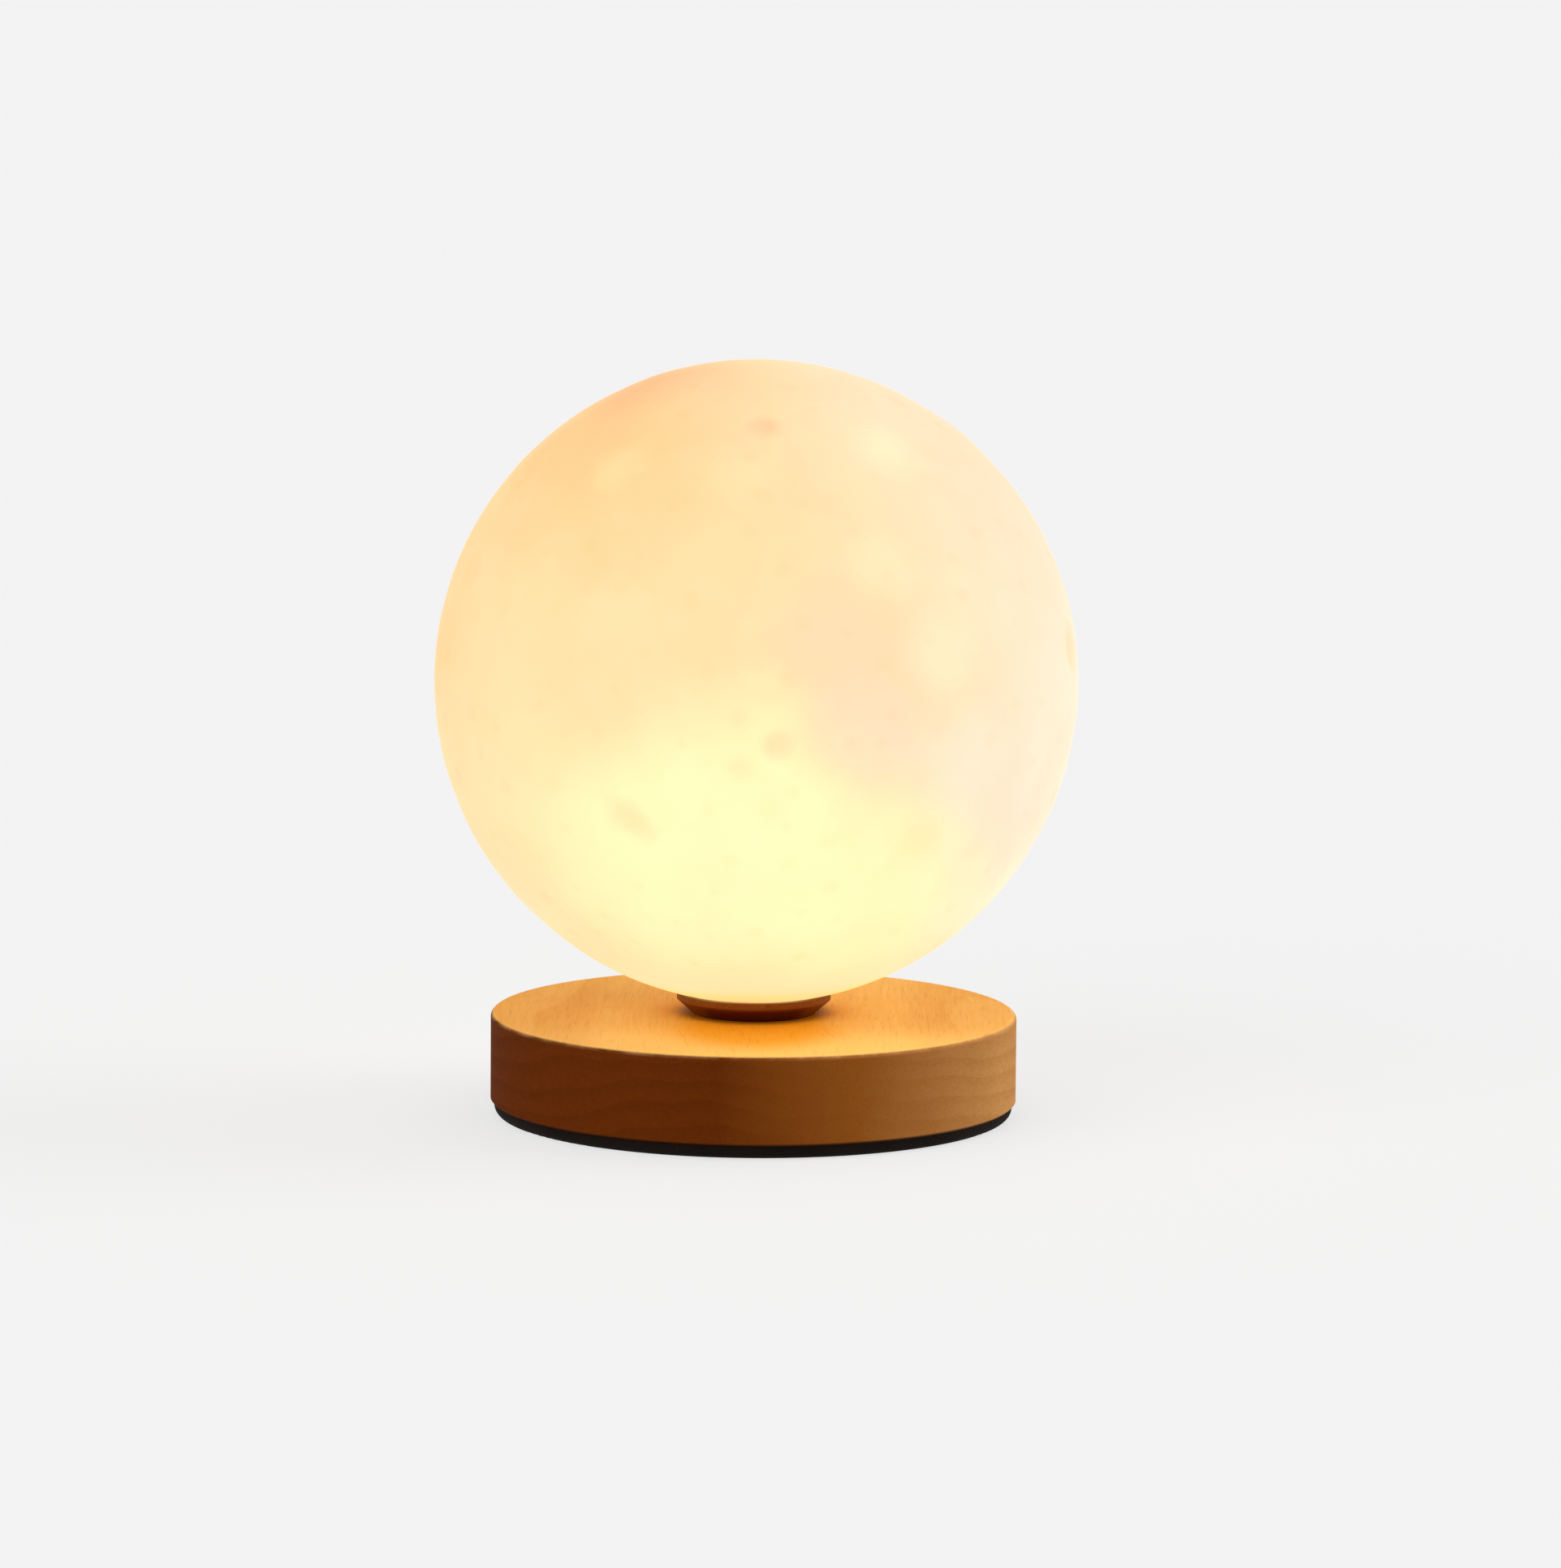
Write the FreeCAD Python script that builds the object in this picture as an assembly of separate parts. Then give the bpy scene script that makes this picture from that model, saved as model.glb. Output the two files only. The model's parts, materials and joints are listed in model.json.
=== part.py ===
import FreeCAD, Part
import math
import os

# Cordless moon lamp: a frosted, crater-marked globe that plugs onto a dark dished collar, on a round
# wooden base with a thin black pad under it.  Millimetres, +Z up, +Y towards the back of the lamp.
# The origin is the middle of the pad's underside, where the lamp stands.

os.makedirs("parts", exist_ok=True)
V = FreeCAD.Vector
overcut = 1.0
nearly_nothing = 1e-4

# ---- Driving dimensions -------------------------------------------------------------------------

# Globe
globe_diameter = 100.0
globe_wall = 2.2
mouth_diameter = 19.6

# Craters on the globe: degrees round from the front, degrees up, width, depth
craters = [
    (-23.0, -18.0, 7.6, 0.45),
    (4.0, -3.5, 4.6, 0.35),
    (-3.0, 0.5, 3.6, 0.30),
    (-3.0, -8.0, 4.2, 0.30),
    (32.0, -22.0, 8.6, 0.45),
    (2.0, 58.0, 3.6, 0.30),
    (39.0, 49.0, 9.0, 0.45),
    (-37.0, 45.0, 8.0, 0.40),
    (78.0, 8.0, 9.4, 0.50),
    (104.0, 36.0, 6.4, 0.40),
    (128.0, -12.0, 8.2, 0.45),
    (160.0, 24.0, 10.0, 0.55),
    (186.0, -20.0, 6.0, 0.40),
    (212.0, 40.0, 7.6, 0.45),
    (238.0, 4.0, 9.2, 0.50),
    (268.0, -24.0, 6.8, 0.40),
    (290.0, 22.0, 7.8, 0.45),
]

# Wooden base
base_diameter = 82.0
base_height = 14.0
base_rim_wall = 7.0
pocket_height = 9.0
base_top_round = 0.8
base_bottom_chamfer = 0.5

# Underside: steel plate let into the wood, and the pad that covers it
plate_thickness = 1.5
plate_rim = 3.0
plate_clearance = 0.2
plate_screw_count = 4
pad_thickness = 2.0
pad_diameter = 80.8
pad_edge_round = 1.4

# Collar that carries the globe
neck_gap = 2.0
lip_band = 2.2
lip_edge_height = 1.0
collar_flare = 2.5
dish_clearance = 0.25
spigot_rise = 3.0

# Ring bonded into the globe's mouth, and the sealing ring it slides over
bond_gap = 0.1
mouth_ring_wall = 1.1
mouth_ring_drop = 0.4
mouth_ring_flange_width = 2.6
mouth_ring_flange_height = 1.4
slide_clearance = 0.2
seat_clearance = 0.2
seal_thickness = 1.2
seal_clearance = 0.12
seal_below_spigot_top = 1.6

# Hollow threaded nipple, washer and nut that clamp the collar to the wood
nipple_diameter = 8.0
nipple_bore = 5.6
nipple_top_gap = 0.8
nipple_tail = 0.3
thread_clearance = 0.05
nipple_hole_clearance = 0.3
washer_diameter = 16.0
washer_thickness = 0.8
nut_across_flats = 13.0
nut_height = 2.4

# Light source on top of the collar
led_board_thickness = 1.0
led_chip_count = 4
led_chip_length = 3.5
led_chip_width = 2.8
led_chip_height = 0.7
led_chip_circle = 9.2
lens_height = 6.0
lens_wall = 1.0
lens_round = 4.0
lens_edge_inset = 0.2

# Control board at the back of the base
board_thickness = 1.0
board_half_width = 16.0
board_edge_clearance = 0.5
board_front_gap = 3.0
tongue_half_width = 11.5
spacer_diameter = 3.6
spacer_x = 13.5
spacer_edge_distance = 3.0

# Rear opening, its bezel and the parts that show in it
bezel_half_width = 16.5
bezel_height = 7.6
bezel_depth = 4.5
bezel_corner = 1.5
bezel_clearance = 0.1
window_half_width = 12.0
window_height = 6.0
bezel_screw_x = 14.2
tongue_gap = 0.2
notch_clearance = 0.2
usb_width = 8.94
usb_height = 3.16
usb_length = 7.35
usb_wall = 0.3
usb_recess = 0.8
usb_slot_clearance = 0.2
usb_blade_width = 6.7
usb_blade_thickness = 0.7
usb_block_length = 2.0
usb_blade_recess = 0.6
full_corner_share = 0.95
light_pipe_x = -8.0
light_pipe_diameter = 2.0

# Push button and the switch behind it
button_x = 8.4
button_diameter = 4.6
button_travel = 0.5
button_proud = 0.6
button_clearance = 0.15
button_flange_width = 0.5
button_flange_thickness = 0.8
button_flange_gap = 0.1
switch_width = 4.5
switch_height = 3.4
switch_depth = 2.6
switch_stand_off = 0.9
plunger_diameter = 1.6
plunger_clearance = 0.1

# Battery
cell_width = 30.0
cell_thickness = 6.0
cell_edge_gap = 1.0
cell_nut_gap = 0.2
cell_corner = 1.2
strip_inset = 2.0
strip_height = 4.0
strip_thickness = 1.2
tape_thickness = 0.5
tape_margin = 2.0

# Two-pin connectors and the wires
header_width = 6.0
header_depth = 4.5
header_height = 3.2
header_wall = 0.6
header_inset = 0.3
plug_length = 5.0
plug_insertion = 3.2
plug_clearance = 0.1
battery_header_x = -7.5
wire_diameter = 0.9
wire_pitch = 1.5
led_wire_bend_limit = 3.5
battery_wire_bend_limit = 15.0
battery_wire_turn_share = 0.3
battery_wire_inset = 2.5
run_share = 0.45
volume_tolerance = 0.01

# Screws: thread diameter, head diameter, head height
base_screw_size = (2.0, 3.8, 0.9)
board_screw_size = (1.8, 3.4, 1.1)
led_screw_size = (1.2, 2.4, 0.9)
bezel_screw_size = (1.4, 2.6, 0.8)
pilot_clearance = 0.05
screw_hole_clearance = 0.2
pilot_wall = 1.1
base_screw_bite = 5.0
board_screw_cover = 1.1
led_screw_bite = 3.0
bezel_screw_bite = 3.6
recess_depth_share = 0.45
recess_reach_share = 0.3
recess_slot_share = 0.07

# Small parts on the control board: middle x, middle y, length, width, height
charge_chip_size = (-2.0, 22.0, 5.0, 4.0, 1.5)
chip_leg_count = 4
chip_leg_width = 0.4
chip_leg_reach = 0.9
inductor_size = (7.5, 21.0, 4.4, 4.4, 2.2)
capacitor_sizes = [
    (-8.0, 20.0, 2.0, 1.25, 1.1),
    (-8.0, 23.0, 2.0, 1.25, 1.1),
    (2.6, 26.0, 1.6, 0.8, 0.8),
    (11.6, 25.0, 3.2, 1.6, 1.4),
]
charge_led_length = 1.6
charge_led_depth = 0.8
charge_led_gap = 0.3

# ---- Places worked out from them ----------------------------------------------------------------

globe_radius = globe_diameter / 2
base_radius = base_diameter / 2
wood_bottom_z = pad_thickness
wood_top_z = wood_bottom_z + base_height
globe_foot_z = wood_top_z + neck_gap
globe_centre_z = globe_foot_z + globe_radius
mouth_radius = mouth_diameter / 2

ring_outer_radius = mouth_radius - bond_gap
ring_inner_radius = ring_outer_radius - mouth_ring_wall
ring_bottom_z = globe_foot_z - mouth_ring_drop
spigot_radius = ring_inner_radius - slide_clearance
spigot_top_z = globe_foot_z + spigot_rise
groove_floor_z = ring_bottom_z - seat_clearance
groove_radius = ring_outer_radius + dish_clearance
lip_radius = mouth_radius + lip_band
foot_radius = lip_radius - collar_flare
seal_middle_z = spigot_top_z - seal_below_spigot_top
seal_outer_radius = ring_inner_radius - seal_clearance
seal_middle_radius = seal_outer_radius - seal_thickness / 2

ledge_z = wood_bottom_z + plate_thickness
ceiling_z = ledge_z + pocket_height
pocket_radius = base_radius - base_rim_wall
rabbet_radius = base_radius - plate_rim
plate_radius = rabbet_radius - plate_clearance
plate_screw_radius = (pocket_radius + rabbet_radius) / 2

nipple_radius = nipple_diameter / 2
washer_bottom_z = ceiling_z - washer_thickness
nut_bottom_z = washer_bottom_z - nut_height
nipple_bottom_z = nut_bottom_z - nipple_tail
nipple_top_z = spigot_top_z - nipple_top_gap

led_board_radius = spigot_radius - lens_edge_inset
led_board_top_z = spigot_top_z + led_board_thickness
led_screw_radius = nipple_radius + thread_clearance + pilot_wall + led_screw_size[0] / 2

port_z = (ledge_z + ceiling_z) / 2
board_top_z = port_z - usb_height / 2
board_bottom_z = board_top_z - board_thickness
board_front_y = washer_diameter / 2 + board_front_gap
board_back_y = math.sqrt((pocket_radius - board_edge_clearance) ** 2 - board_half_width ** 2)
bezel_back_y = base_radius - bezel_depth
tongue_end_y = bezel_back_y - tongue_gap
spacer_y = board_front_y + spacer_edge_distance
board_screw_bite = wood_top_z - ceiling_z - board_screw_cover

usb_mouth_y = base_radius - usb_recess
usb_back_y = usb_mouth_y - usb_length
button_flange_front_y = bezel_back_y - button_flange_gap
button_flange_back_y = button_flange_front_y - button_flange_thickness
switch_front_y = button_flange_back_y - switch_stand_off
button_face_y = math.sqrt(base_radius ** 2 - button_x ** 2) + button_proud

cell_top_z = ceiling_z - tape_thickness
cell_front_y = -math.sqrt((pocket_radius - cell_edge_gap) ** 2 - (cell_width / 2) ** 2)
strip_back_y = -(washer_diameter / 2 + cell_nut_gap)
cell_back_y = strip_back_y - strip_thickness
strip_half_width = cell_width / 2 - strip_inset

header_front_y = board_front_y + header_inset
plug_front_y = header_front_y - (plug_length - plug_insertion)
wire_z = board_top_z + header_height / 2


# ---- Helpers ------------------------------------------------------------------------------------

def save(name, shape):
    """Write one sub-part to its own file."""
    for solid in shape.Solids:
        assert solid.isValid() and solid.isClosed(), name
    shape.exportStep("parts/" + name + ".step")
    print(name, len(shape.Solids), round(shape.Volume, 2))


def box(x0, x1, y0, y1, z0, z1):
    """Block between two corners."""
    return Part.makeBox(x1 - x0, y1 - y0, z1 - z0, V(x0, y0, z0))


def rod(radius, z0, z1, x=0.0, y=0.0):
    """Upright cylinder."""
    return Part.makeCylinder(radius, z1 - z0, V(x, y, z0))


def rod_y(radius, y0, y1, x, z):
    """Cylinder that lies along Y."""
    return Part.makeCylinder(radius, y1 - y0, V(x, y0, z), V(0, 1, 0))


def ring(outer, inner, z0, z1):
    """Upright tube about the lamp's axis."""
    return rod(outer, z0, z1).cut(rod(inner, z0, z1))


def turned(edges):
    """Solid turned about the lamp's axis from edges that close a profile in the XZ plane."""
    face = Part.Face(Part.Wire(Part.__sortEdges__(edges)))
    return face.revolve(V(0, 0, 0), V(0, 0, 1), 360)


def line(a, b):
    """Profile edge between two (radius, height) points."""
    return Part.LineSegment(V(a[0], 0, a[1]), V(b[0], 0, b[1])).toShape()


def arc(a, middle, b):
    """Profile arc through three (radius, height) points."""
    ends = [V(p[0], 0, p[1]) for p in (a, middle, b)]
    return Part.Arc(ends[0], ends[1], ends[2]).toShape()


def sphere_z(sphere_radius, radius):
    """Height of the lower half of a sphere about the globe's centre, at a radius from the axis."""
    return globe_centre_z - math.sqrt(sphere_radius ** 2 - radius ** 2)


def rounded_block(half_width, half_height, corner, y0, y1, z):
    """Block along Y whose four long edges are rounded."""
    block = box(-half_width, half_width, y0, y1, z - half_height, z + half_height)
    long_edges = [e for e in block.Edges if e.BoundBox.YLength > (y1 - y0) / 2]
    return block.makeFillet(corner, long_edges)


def round_edges(shape, z, radius):
    """Round the edges that lie flat at one height."""
    flat = [e for e in shape.Edges if e.BoundBox.ZLength < nearly_nothing]
    at_height = [e for e in flat if abs(e.BoundBox.ZMin - z) < nearly_nothing]
    return shape.makeFillet(radius, at_height)


def on_circle(count, radius, first_angle):
    """Points evenly spaced on a circle about the lamp's axis."""
    points = []
    for i in range(count):
        angle = math.radians(first_angle + 360.0 * i / count)
        points.append((radius * math.cos(angle), radius * math.sin(angle)))
    return points


def pan_screw(size, length):
    """Pan-head screw that points up, with the underside of its head at height zero."""
    thread, head, head_height = size
    shank = rod(thread / 2, 0, length)
    top = rod(head / 2, -head_height, 0)
    top = round_edges(top, -head_height, head_height * recess_depth_share)
    cross = cross_recess(head, head_height)
    return top.fuse(shank).removeSplitter().cut(cross)


def flat_screw(size, length):
    """Countersunk screw that points up, with the face of its head at height zero."""
    thread, head, head_height = size
    shank = rod(thread / 2, head_height, length)
    cone = Part.makeCone(head / 2, thread / 2, head_height)
    cross = cross_recess(head, head_height).translated(V(0, 0, head_height))
    return cone.fuse(shank).removeSplitter().cut(cross)


def cross_recess(head, head_height):
    """Cross-shaped cut in the head of a screw, from its face upwards."""
    reach = head * recess_reach_share
    slot = head * recess_slot_share
    depth = head_height * recess_depth_share
    low = -head_height
    bar = box(-reach, reach, -slot, slot, low, low + depth)
    return bar.fuse(box(-slot, slot, -reach, reach, low, low + depth))


def tube(points, diameter, bend_limit):
    """Round wire along straight runs joined by tangent arcs as large as the runs and the limit allow."""
    edges = []
    start = points[0]
    length = 0.0
    for before, corner, after in zip(points, points[1:], points[2:]):
        run_in = corner - before
        run_out = after - corner
        half_turn = run_in.getAngle(run_out) / 2
        room = run_share * min(run_in.Length, run_out.Length) / math.tan(half_turn)
        bend = min(room, bend_limit)
        way_in = V(run_in).normalize()
        way_out = V(run_out).normalize()
        setback = bend * math.tan(half_turn)
        arc_start = corner - way_in * setback
        arc_end = corner + way_out * setback
        inward = (way_out - way_in).normalize()
        arc_middle = corner + inward * (bend / math.cos(half_turn) - bend)
        edges.append(Part.LineSegment(start, arc_start).toShape())
        edges.append(Part.Arc(arc_start, arc_middle, arc_end).toShape())
        length += (arc_start - start).Length + 2 * half_turn * bend
        start = arc_end
        print("  bend radius", round(bend, 2))
    edges.append(Part.LineSegment(start, points[-1]).toShape())
    length += (points[-1] - start).Length
    section = Part.Wire(Part.makeCircle(diameter / 2, points[0], points[1] - points[0]))
    solid = Part.Wire(edges).makePipeShell([section], True, False)
    expected = math.pi * diameter ** 2 / 4 * length
    assert abs(solid.Volume / expected - 1) < volume_tolerance
    print("  wire length", round(length, 1), "volume against section times length",
          round(solid.Volume / expected, 4))
    return solid


# ---- Globe --------------------------------------------------------------------------------------

def crater_cutter(around, up, width, depth):
    """Ball that dishes a crater of this width and depth into the globe."""
    half = width / 2
    fall_of_globe = half ** 2 / (2 * globe_radius)
    ball_radius = half ** 2 / (2 * (depth - fall_of_globe))
    around = math.radians(around)
    up = math.radians(up)
    outward = V(math.sin(around) * math.cos(up), -math.cos(around) * math.cos(up), math.sin(up))
    middle = V(0, 0, globe_centre_z) + outward * (globe_radius + ball_radius - depth)
    return Part.makeSphere(ball_radius, middle)


def globe():
    """Hollow frosted ball, open at the bottom, with shallow craters."""
    middle = V(0, 0, globe_centre_z)
    shell = Part.makeSphere(globe_radius, middle).cut(Part.makeSphere(globe_radius - globe_wall, middle))
    shell = shell.cut(rod(mouth_radius, globe_foot_z - overcut, globe_centre_z))
    for crater in craters:
        shell = shell.cut(crater_cutter(*crater))
    return shell


def globe_ring():
    """Plastic ring bonded into the mouth: a tube with a flange that lies on the inner wall."""
    flange_radius = mouth_radius + mouth_ring_flange_width
    seat_sphere = globe_radius - globe_wall - bond_gap
    seat_in = (ring_outer_radius, sphere_z(seat_sphere, ring_outer_radius))
    seat_out = (flange_radius, sphere_z(seat_sphere, flange_radius))
    middle_radius = (ring_outer_radius + flange_radius) / 2
    seat_middle = (middle_radius, sphere_z(seat_sphere, middle_radius))
    top_z = seat_in[1] + mouth_ring_flange_height
    bottom_in = (ring_inner_radius, ring_bottom_z)
    bottom_out = (ring_outer_radius, ring_bottom_z)
    top_out = (flange_radius, top_z)
    top_in = (ring_inner_radius, top_z)
    return turned([
        line(bottom_in, bottom_out),
        line(bottom_out, seat_in),
        arc(seat_in, seat_middle, seat_out),
        line(seat_out, top_out),
        line(top_out, top_in),
        line(top_in, bottom_in),
    ])


# ---- Collar and its clamp -----------------------------------------------------------------------

def globe_collar():
    """Dished collar: a foot on the wood, a lip that hugs the globe and a spigot inside the mouth."""
    dish_sphere = globe_radius + dish_clearance
    bore_radius = nipple_radius + thread_clearance
    lip_top = (lip_radius, sphere_z(dish_sphere, lip_radius))
    lip_bottom = (lip_radius, lip_top[1] - lip_edge_height)
    foot = (foot_radius, wood_top_z)
    dish_in = (groove_radius, sphere_z(dish_sphere, groove_radius))
    dish_middle_radius = (groove_radius + lip_radius) / 2
    dish_middle = (dish_middle_radius, sphere_z(dish_sphere, dish_middle_radius))
    groove_out = (groove_radius, groove_floor_z)
    groove_in = (spigot_radius, groove_floor_z)
    spigot_top = (spigot_radius, spigot_top_z)
    bore_top = (bore_radius, spigot_top_z)
    bore_bottom = (bore_radius, wood_top_z)
    collar = turned([
        line(bore_bottom, foot),
        line(foot, lip_bottom),
        line(lip_bottom, lip_top),
        arc(lip_top, dish_middle, dish_in),
        line(dish_in, groove_out),
        line(groove_out, groove_in),
        line(groove_in, spigot_top),
        line(spigot_top, bore_top),
        line(bore_top, bore_bottom),
    ])
    half_seal = seal_thickness / 2 + pilot_clearance
    seal_groove = ring(spigot_radius + overcut, seal_middle_radius - half_seal,
                       seal_middle_z - half_seal, seal_middle_z + half_seal)
    collar = collar.cut(seal_groove)
    for x, y in led_screw_places():
        pilot = led_screw_size[0] / 2 + pilot_clearance
        collar = collar.cut(rod(pilot, spigot_top_z - led_screw_bite - pilot_clearance, spigot_top_z, x, y))
    return collar


def globe_seal():
    """Silicone ring in the spigot's groove, which steadies the globe."""
    return Part.makeTorus(seal_middle_radius, seal_thickness / 2, V(0, 0, seal_middle_z))


def collar_nipple():
    """Hollow threaded rod through the wood, screwed up into the collar."""
    return ring(nipple_radius, nipple_bore / 2, nipple_bottom_z, nipple_top_z)


def nipple_washer():
    """Flat washer against the roof of the pocket."""
    return ring(washer_diameter / 2, nipple_radius + nipple_hole_clearance, washer_bottom_z, ceiling_z)


def nipple_nut():
    """Thin hexagon nut that pulls the collar down."""
    corner_radius = nut_across_flats / 2 / math.cos(math.radians(30))
    corners = [V(x, y, nut_bottom_z) for x, y in on_circle(6, corner_radius, 0)]
    hexagon = Part.Face(Part.makePolygon(corners + corners[:1]))
    nut = hexagon.extrude(V(0, 0, nut_height))
    return nut.cut(rod(nipple_radius + thread_clearance, nut_bottom_z, washer_bottom_z))


# ---- Light source -------------------------------------------------------------------------------

def led_screw_places():
    """The two screws between the light chips."""
    return on_circle(2, led_screw_radius, 45)


def led_board():
    """Round aluminium board on top of the collar."""
    board = rod(led_board_radius, spigot_top_z, led_board_top_z)
    for x, y in led_screw_places():
        hole = (led_screw_size[0] + screw_hole_clearance) / 2
        board = board.cut(rod(hole, spigot_top_z, led_board_top_z, x, y))
    return board


def led_chips():
    """Light chips in a ring on the board."""
    chips = []
    for i in range(led_chip_count):
        inner = (led_chip_circle - led_chip_length) / 2
        chip = box(inner, inner + led_chip_length, -led_chip_width / 2, led_chip_width / 2,
                   led_board_top_z, led_board_top_z + led_chip_height)
        chip.rotate(V(0, 0, 0), V(0, 0, 1), 360.0 * i / led_chip_count)
        chips.append(chip)
    return Part.makeCompound(chips)


def led_board_screws():
    """Two small screws through the board into the spigot, heads up."""
    screws = []
    for x, y in led_screw_places():
        screw = pan_screw(led_screw_size, led_screw_bite + led_board_thickness)
        screw.rotate(V(0, 0, 0), V(1, 0, 0), 180)
        screws.append(screw.translated(V(x, y, led_board_top_z)))
    return Part.makeCompound(screws)


def dome(radius, z0, z1, round_radius):
    """Upright disc with a well rounded top edge."""
    return round_edges(rod(radius, z0, z1), z1, round_radius)


def led_lens():
    """Frosted cap over the chips, standing on the board's edge."""
    top_z = led_board_top_z + lens_height
    outside = dome(led_board_radius, led_board_top_z, top_z, lens_round)
    inside = dome(led_board_radius - lens_wall, led_board_top_z, top_z - lens_wall, lens_round - lens_wall)
    return outside.cut(inside)


# ---- Wooden base and its underside --------------------------------------------------------------

def wood_base():
    """Round wooden block with a pocket from below, a rear window and the nipple's hole."""
    wood = rod(base_radius, wood_bottom_z, wood_top_z)
    wood = round_edges(wood, wood_top_z, base_top_round)
    flat = [e for e in wood.Edges if abs(e.BoundBox.ZMax - wood_bottom_z) < nearly_nothing]
    wood = wood.makeChamfer(base_bottom_chamfer, flat)
    wood = wood.cut(rod(pocket_radius, wood_bottom_z, ceiling_z))
    wood = wood.cut(rod(rabbet_radius, wood_bottom_z, ledge_z))
    wood = wood.cut(rod(nipple_radius + nipple_hole_clearance, ceiling_z, wood_top_z))
    window = rounded_block(window_half_width, window_height / 2, bezel_corner / 2, 0, bezel_back_y, port_z)
    inside = rod(pocket_radius - overcut, wood_bottom_z, ceiling_z)
    wood = wood.cut(window.cut(inside))
    wood = wood.cut(rounded_block(bezel_half_width, bezel_height / 2, bezel_corner, bezel_back_y,
                                  base_radius + overcut, port_z))
    for x, y in plate_screw_places():
        pilot = base_screw_size[0] / 2 + pilot_clearance
        wood = wood.cut(rod(pilot, ledge_z, ledge_z + base_screw_bite, x, y))
    for x, y in spacer_places():
        pilot = board_screw_size[0] / 2 + pilot_clearance
        wood = wood.cut(rod(pilot, ceiling_z, ceiling_z + board_screw_bite + pilot_clearance, x, y))
    for x in (-bezel_screw_x, bezel_screw_x):
        pilot = bezel_screw_size[0] / 2 + pilot_clearance
        wood = wood.cut(rod_y(pilot, bezel_back_y - bezel_screw_bite - pilot_clearance, bezel_back_y,
                              x, port_z))
    return wood


def plate_screw_places():
    """Screws through the plate into the wood, clear of the rear window."""
    return on_circle(plate_screw_count, plate_screw_radius, 45)


def base_plate():
    """Steel plate that closes the pocket and weights the lamp."""
    plate = rod(plate_radius, wood_bottom_z, ledge_z)
    thread, head, head_height = base_screw_size
    for x, y in plate_screw_places():
        hole = (thread + screw_hole_clearance) / 2
        sink = Part.makeCone(head / 2 + pilot_clearance, thread / 2 + pilot_clearance, head_height,
                             V(x, y, wood_bottom_z))
        plate = plate.cut(rod(hole, wood_bottom_z, ledge_z, x, y)).cut(sink)
    return plate


def base_screws():
    """Countersunk screws flush with the plate's underside."""
    screws = []
    for x, y in plate_screw_places():
        screw = flat_screw(base_screw_size, plate_thickness + base_screw_bite - pilot_clearance)
        screws.append(screw.translated(V(x, y, wood_bottom_z)))
    return Part.makeCompound(screws)


def foot_pad():
    """Black foam pad that the lamp stands on, its lower edge rounded."""
    return round_edges(rod(pad_diameter / 2, 0, pad_thickness), 0, pad_edge_round)


# ---- Control board ------------------------------------------------------------------------------

def spacer_places():
    """Where the board hangs from the roof of the pocket."""
    return [(-spacer_x, spacer_y), (spacer_x, spacer_y)]


def control_board():
    """T-shaped board: its tongue reaches the bezel, with a notch that the button moves in."""
    board = box(-board_half_width, board_half_width, board_front_y, board_back_y,
                board_bottom_z, board_top_z)
    tongue = box(-tongue_half_width, tongue_half_width, board_back_y - overcut, tongue_end_y,
                 board_bottom_z, board_top_z)
    board = board.fuse(tongue).removeSplitter()
    notch_edge_x = button_x - button_diameter / 2 - button_flange_width - notch_clearance
    notch_back_y = button_flange_back_y - button_travel - notch_clearance
    board = board.cut(box(notch_edge_x, tongue_half_width, notch_back_y, tongue_end_y,
                          board_bottom_z, board_top_z))
    for x, y in spacer_places():
        hole = (board_screw_size[0] + screw_hole_clearance) / 2
        board = board.cut(rod(hole, board_bottom_z, board_top_z, x, y))
    return board


def board_spacers():
    """Two tubes that set the board's height."""
    tubes = []
    for x, y in spacer_places():
        hole = (board_screw_size[0] + screw_hole_clearance) / 2
        outside = rod(spacer_diameter / 2, board_top_z, ceiling_z, x, y)
        tubes.append(outside.cut(rod(hole, board_top_z, ceiling_z, x, y)))
    return Part.makeCompound(tubes)


def board_screws():
    """Two screws up through board and spacers into the wood."""
    reach = ceiling_z - board_bottom_z + board_screw_bite
    screws = [pan_screw(board_screw_size, reach).translated(V(x, y, board_bottom_z))
              for x, y in spacer_places()]
    return Part.makeCompound(screws)


def on_board(size):
    """Block standing on the board."""
    x, y, length, width, height = size
    return box(x - length / 2, x + length / 2, y - width / 2, y + width / 2,
               board_top_z, board_top_z + height)


def charge_chip():
    """Charging chip with a row of legs on each side."""
    x, y, length, width, height = charge_chip_size
    stand = height / 6
    body = on_board(charge_chip_size).cut(on_board((x, y, length, width, stand)))
    pitch = length / chip_leg_count
    for side in (-1, 1):
        for i in range(chip_leg_count):
            leg_x = x + (i - (chip_leg_count - 1) / 2) * pitch
            foot_y = y + side * (width / 2 + chip_leg_reach / 2)
            foot = on_board((leg_x, foot_y, chip_leg_width, chip_leg_reach, stand))
            riser_y = y + side * (width / 2 + stand / 2)
            riser = on_board((leg_x, riser_y, chip_leg_width, stand, height / 2))
            body = body.fuse(foot).fuse(riser)
    return body.removeSplitter()


def inductor():
    """Shielded power inductor with rounded corners."""
    block = on_board(inductor_size)
    height = inductor_size[4]
    upright = [e for e in block.Edges if e.BoundBox.ZLength > height / 2]
    return block.makeFillet(inductor_size[2] / 6, upright)


def capacitors():
    """Small ceramic capacitors."""
    return Part.makeCompound([on_board(size) for size in capacitor_sizes])


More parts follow.
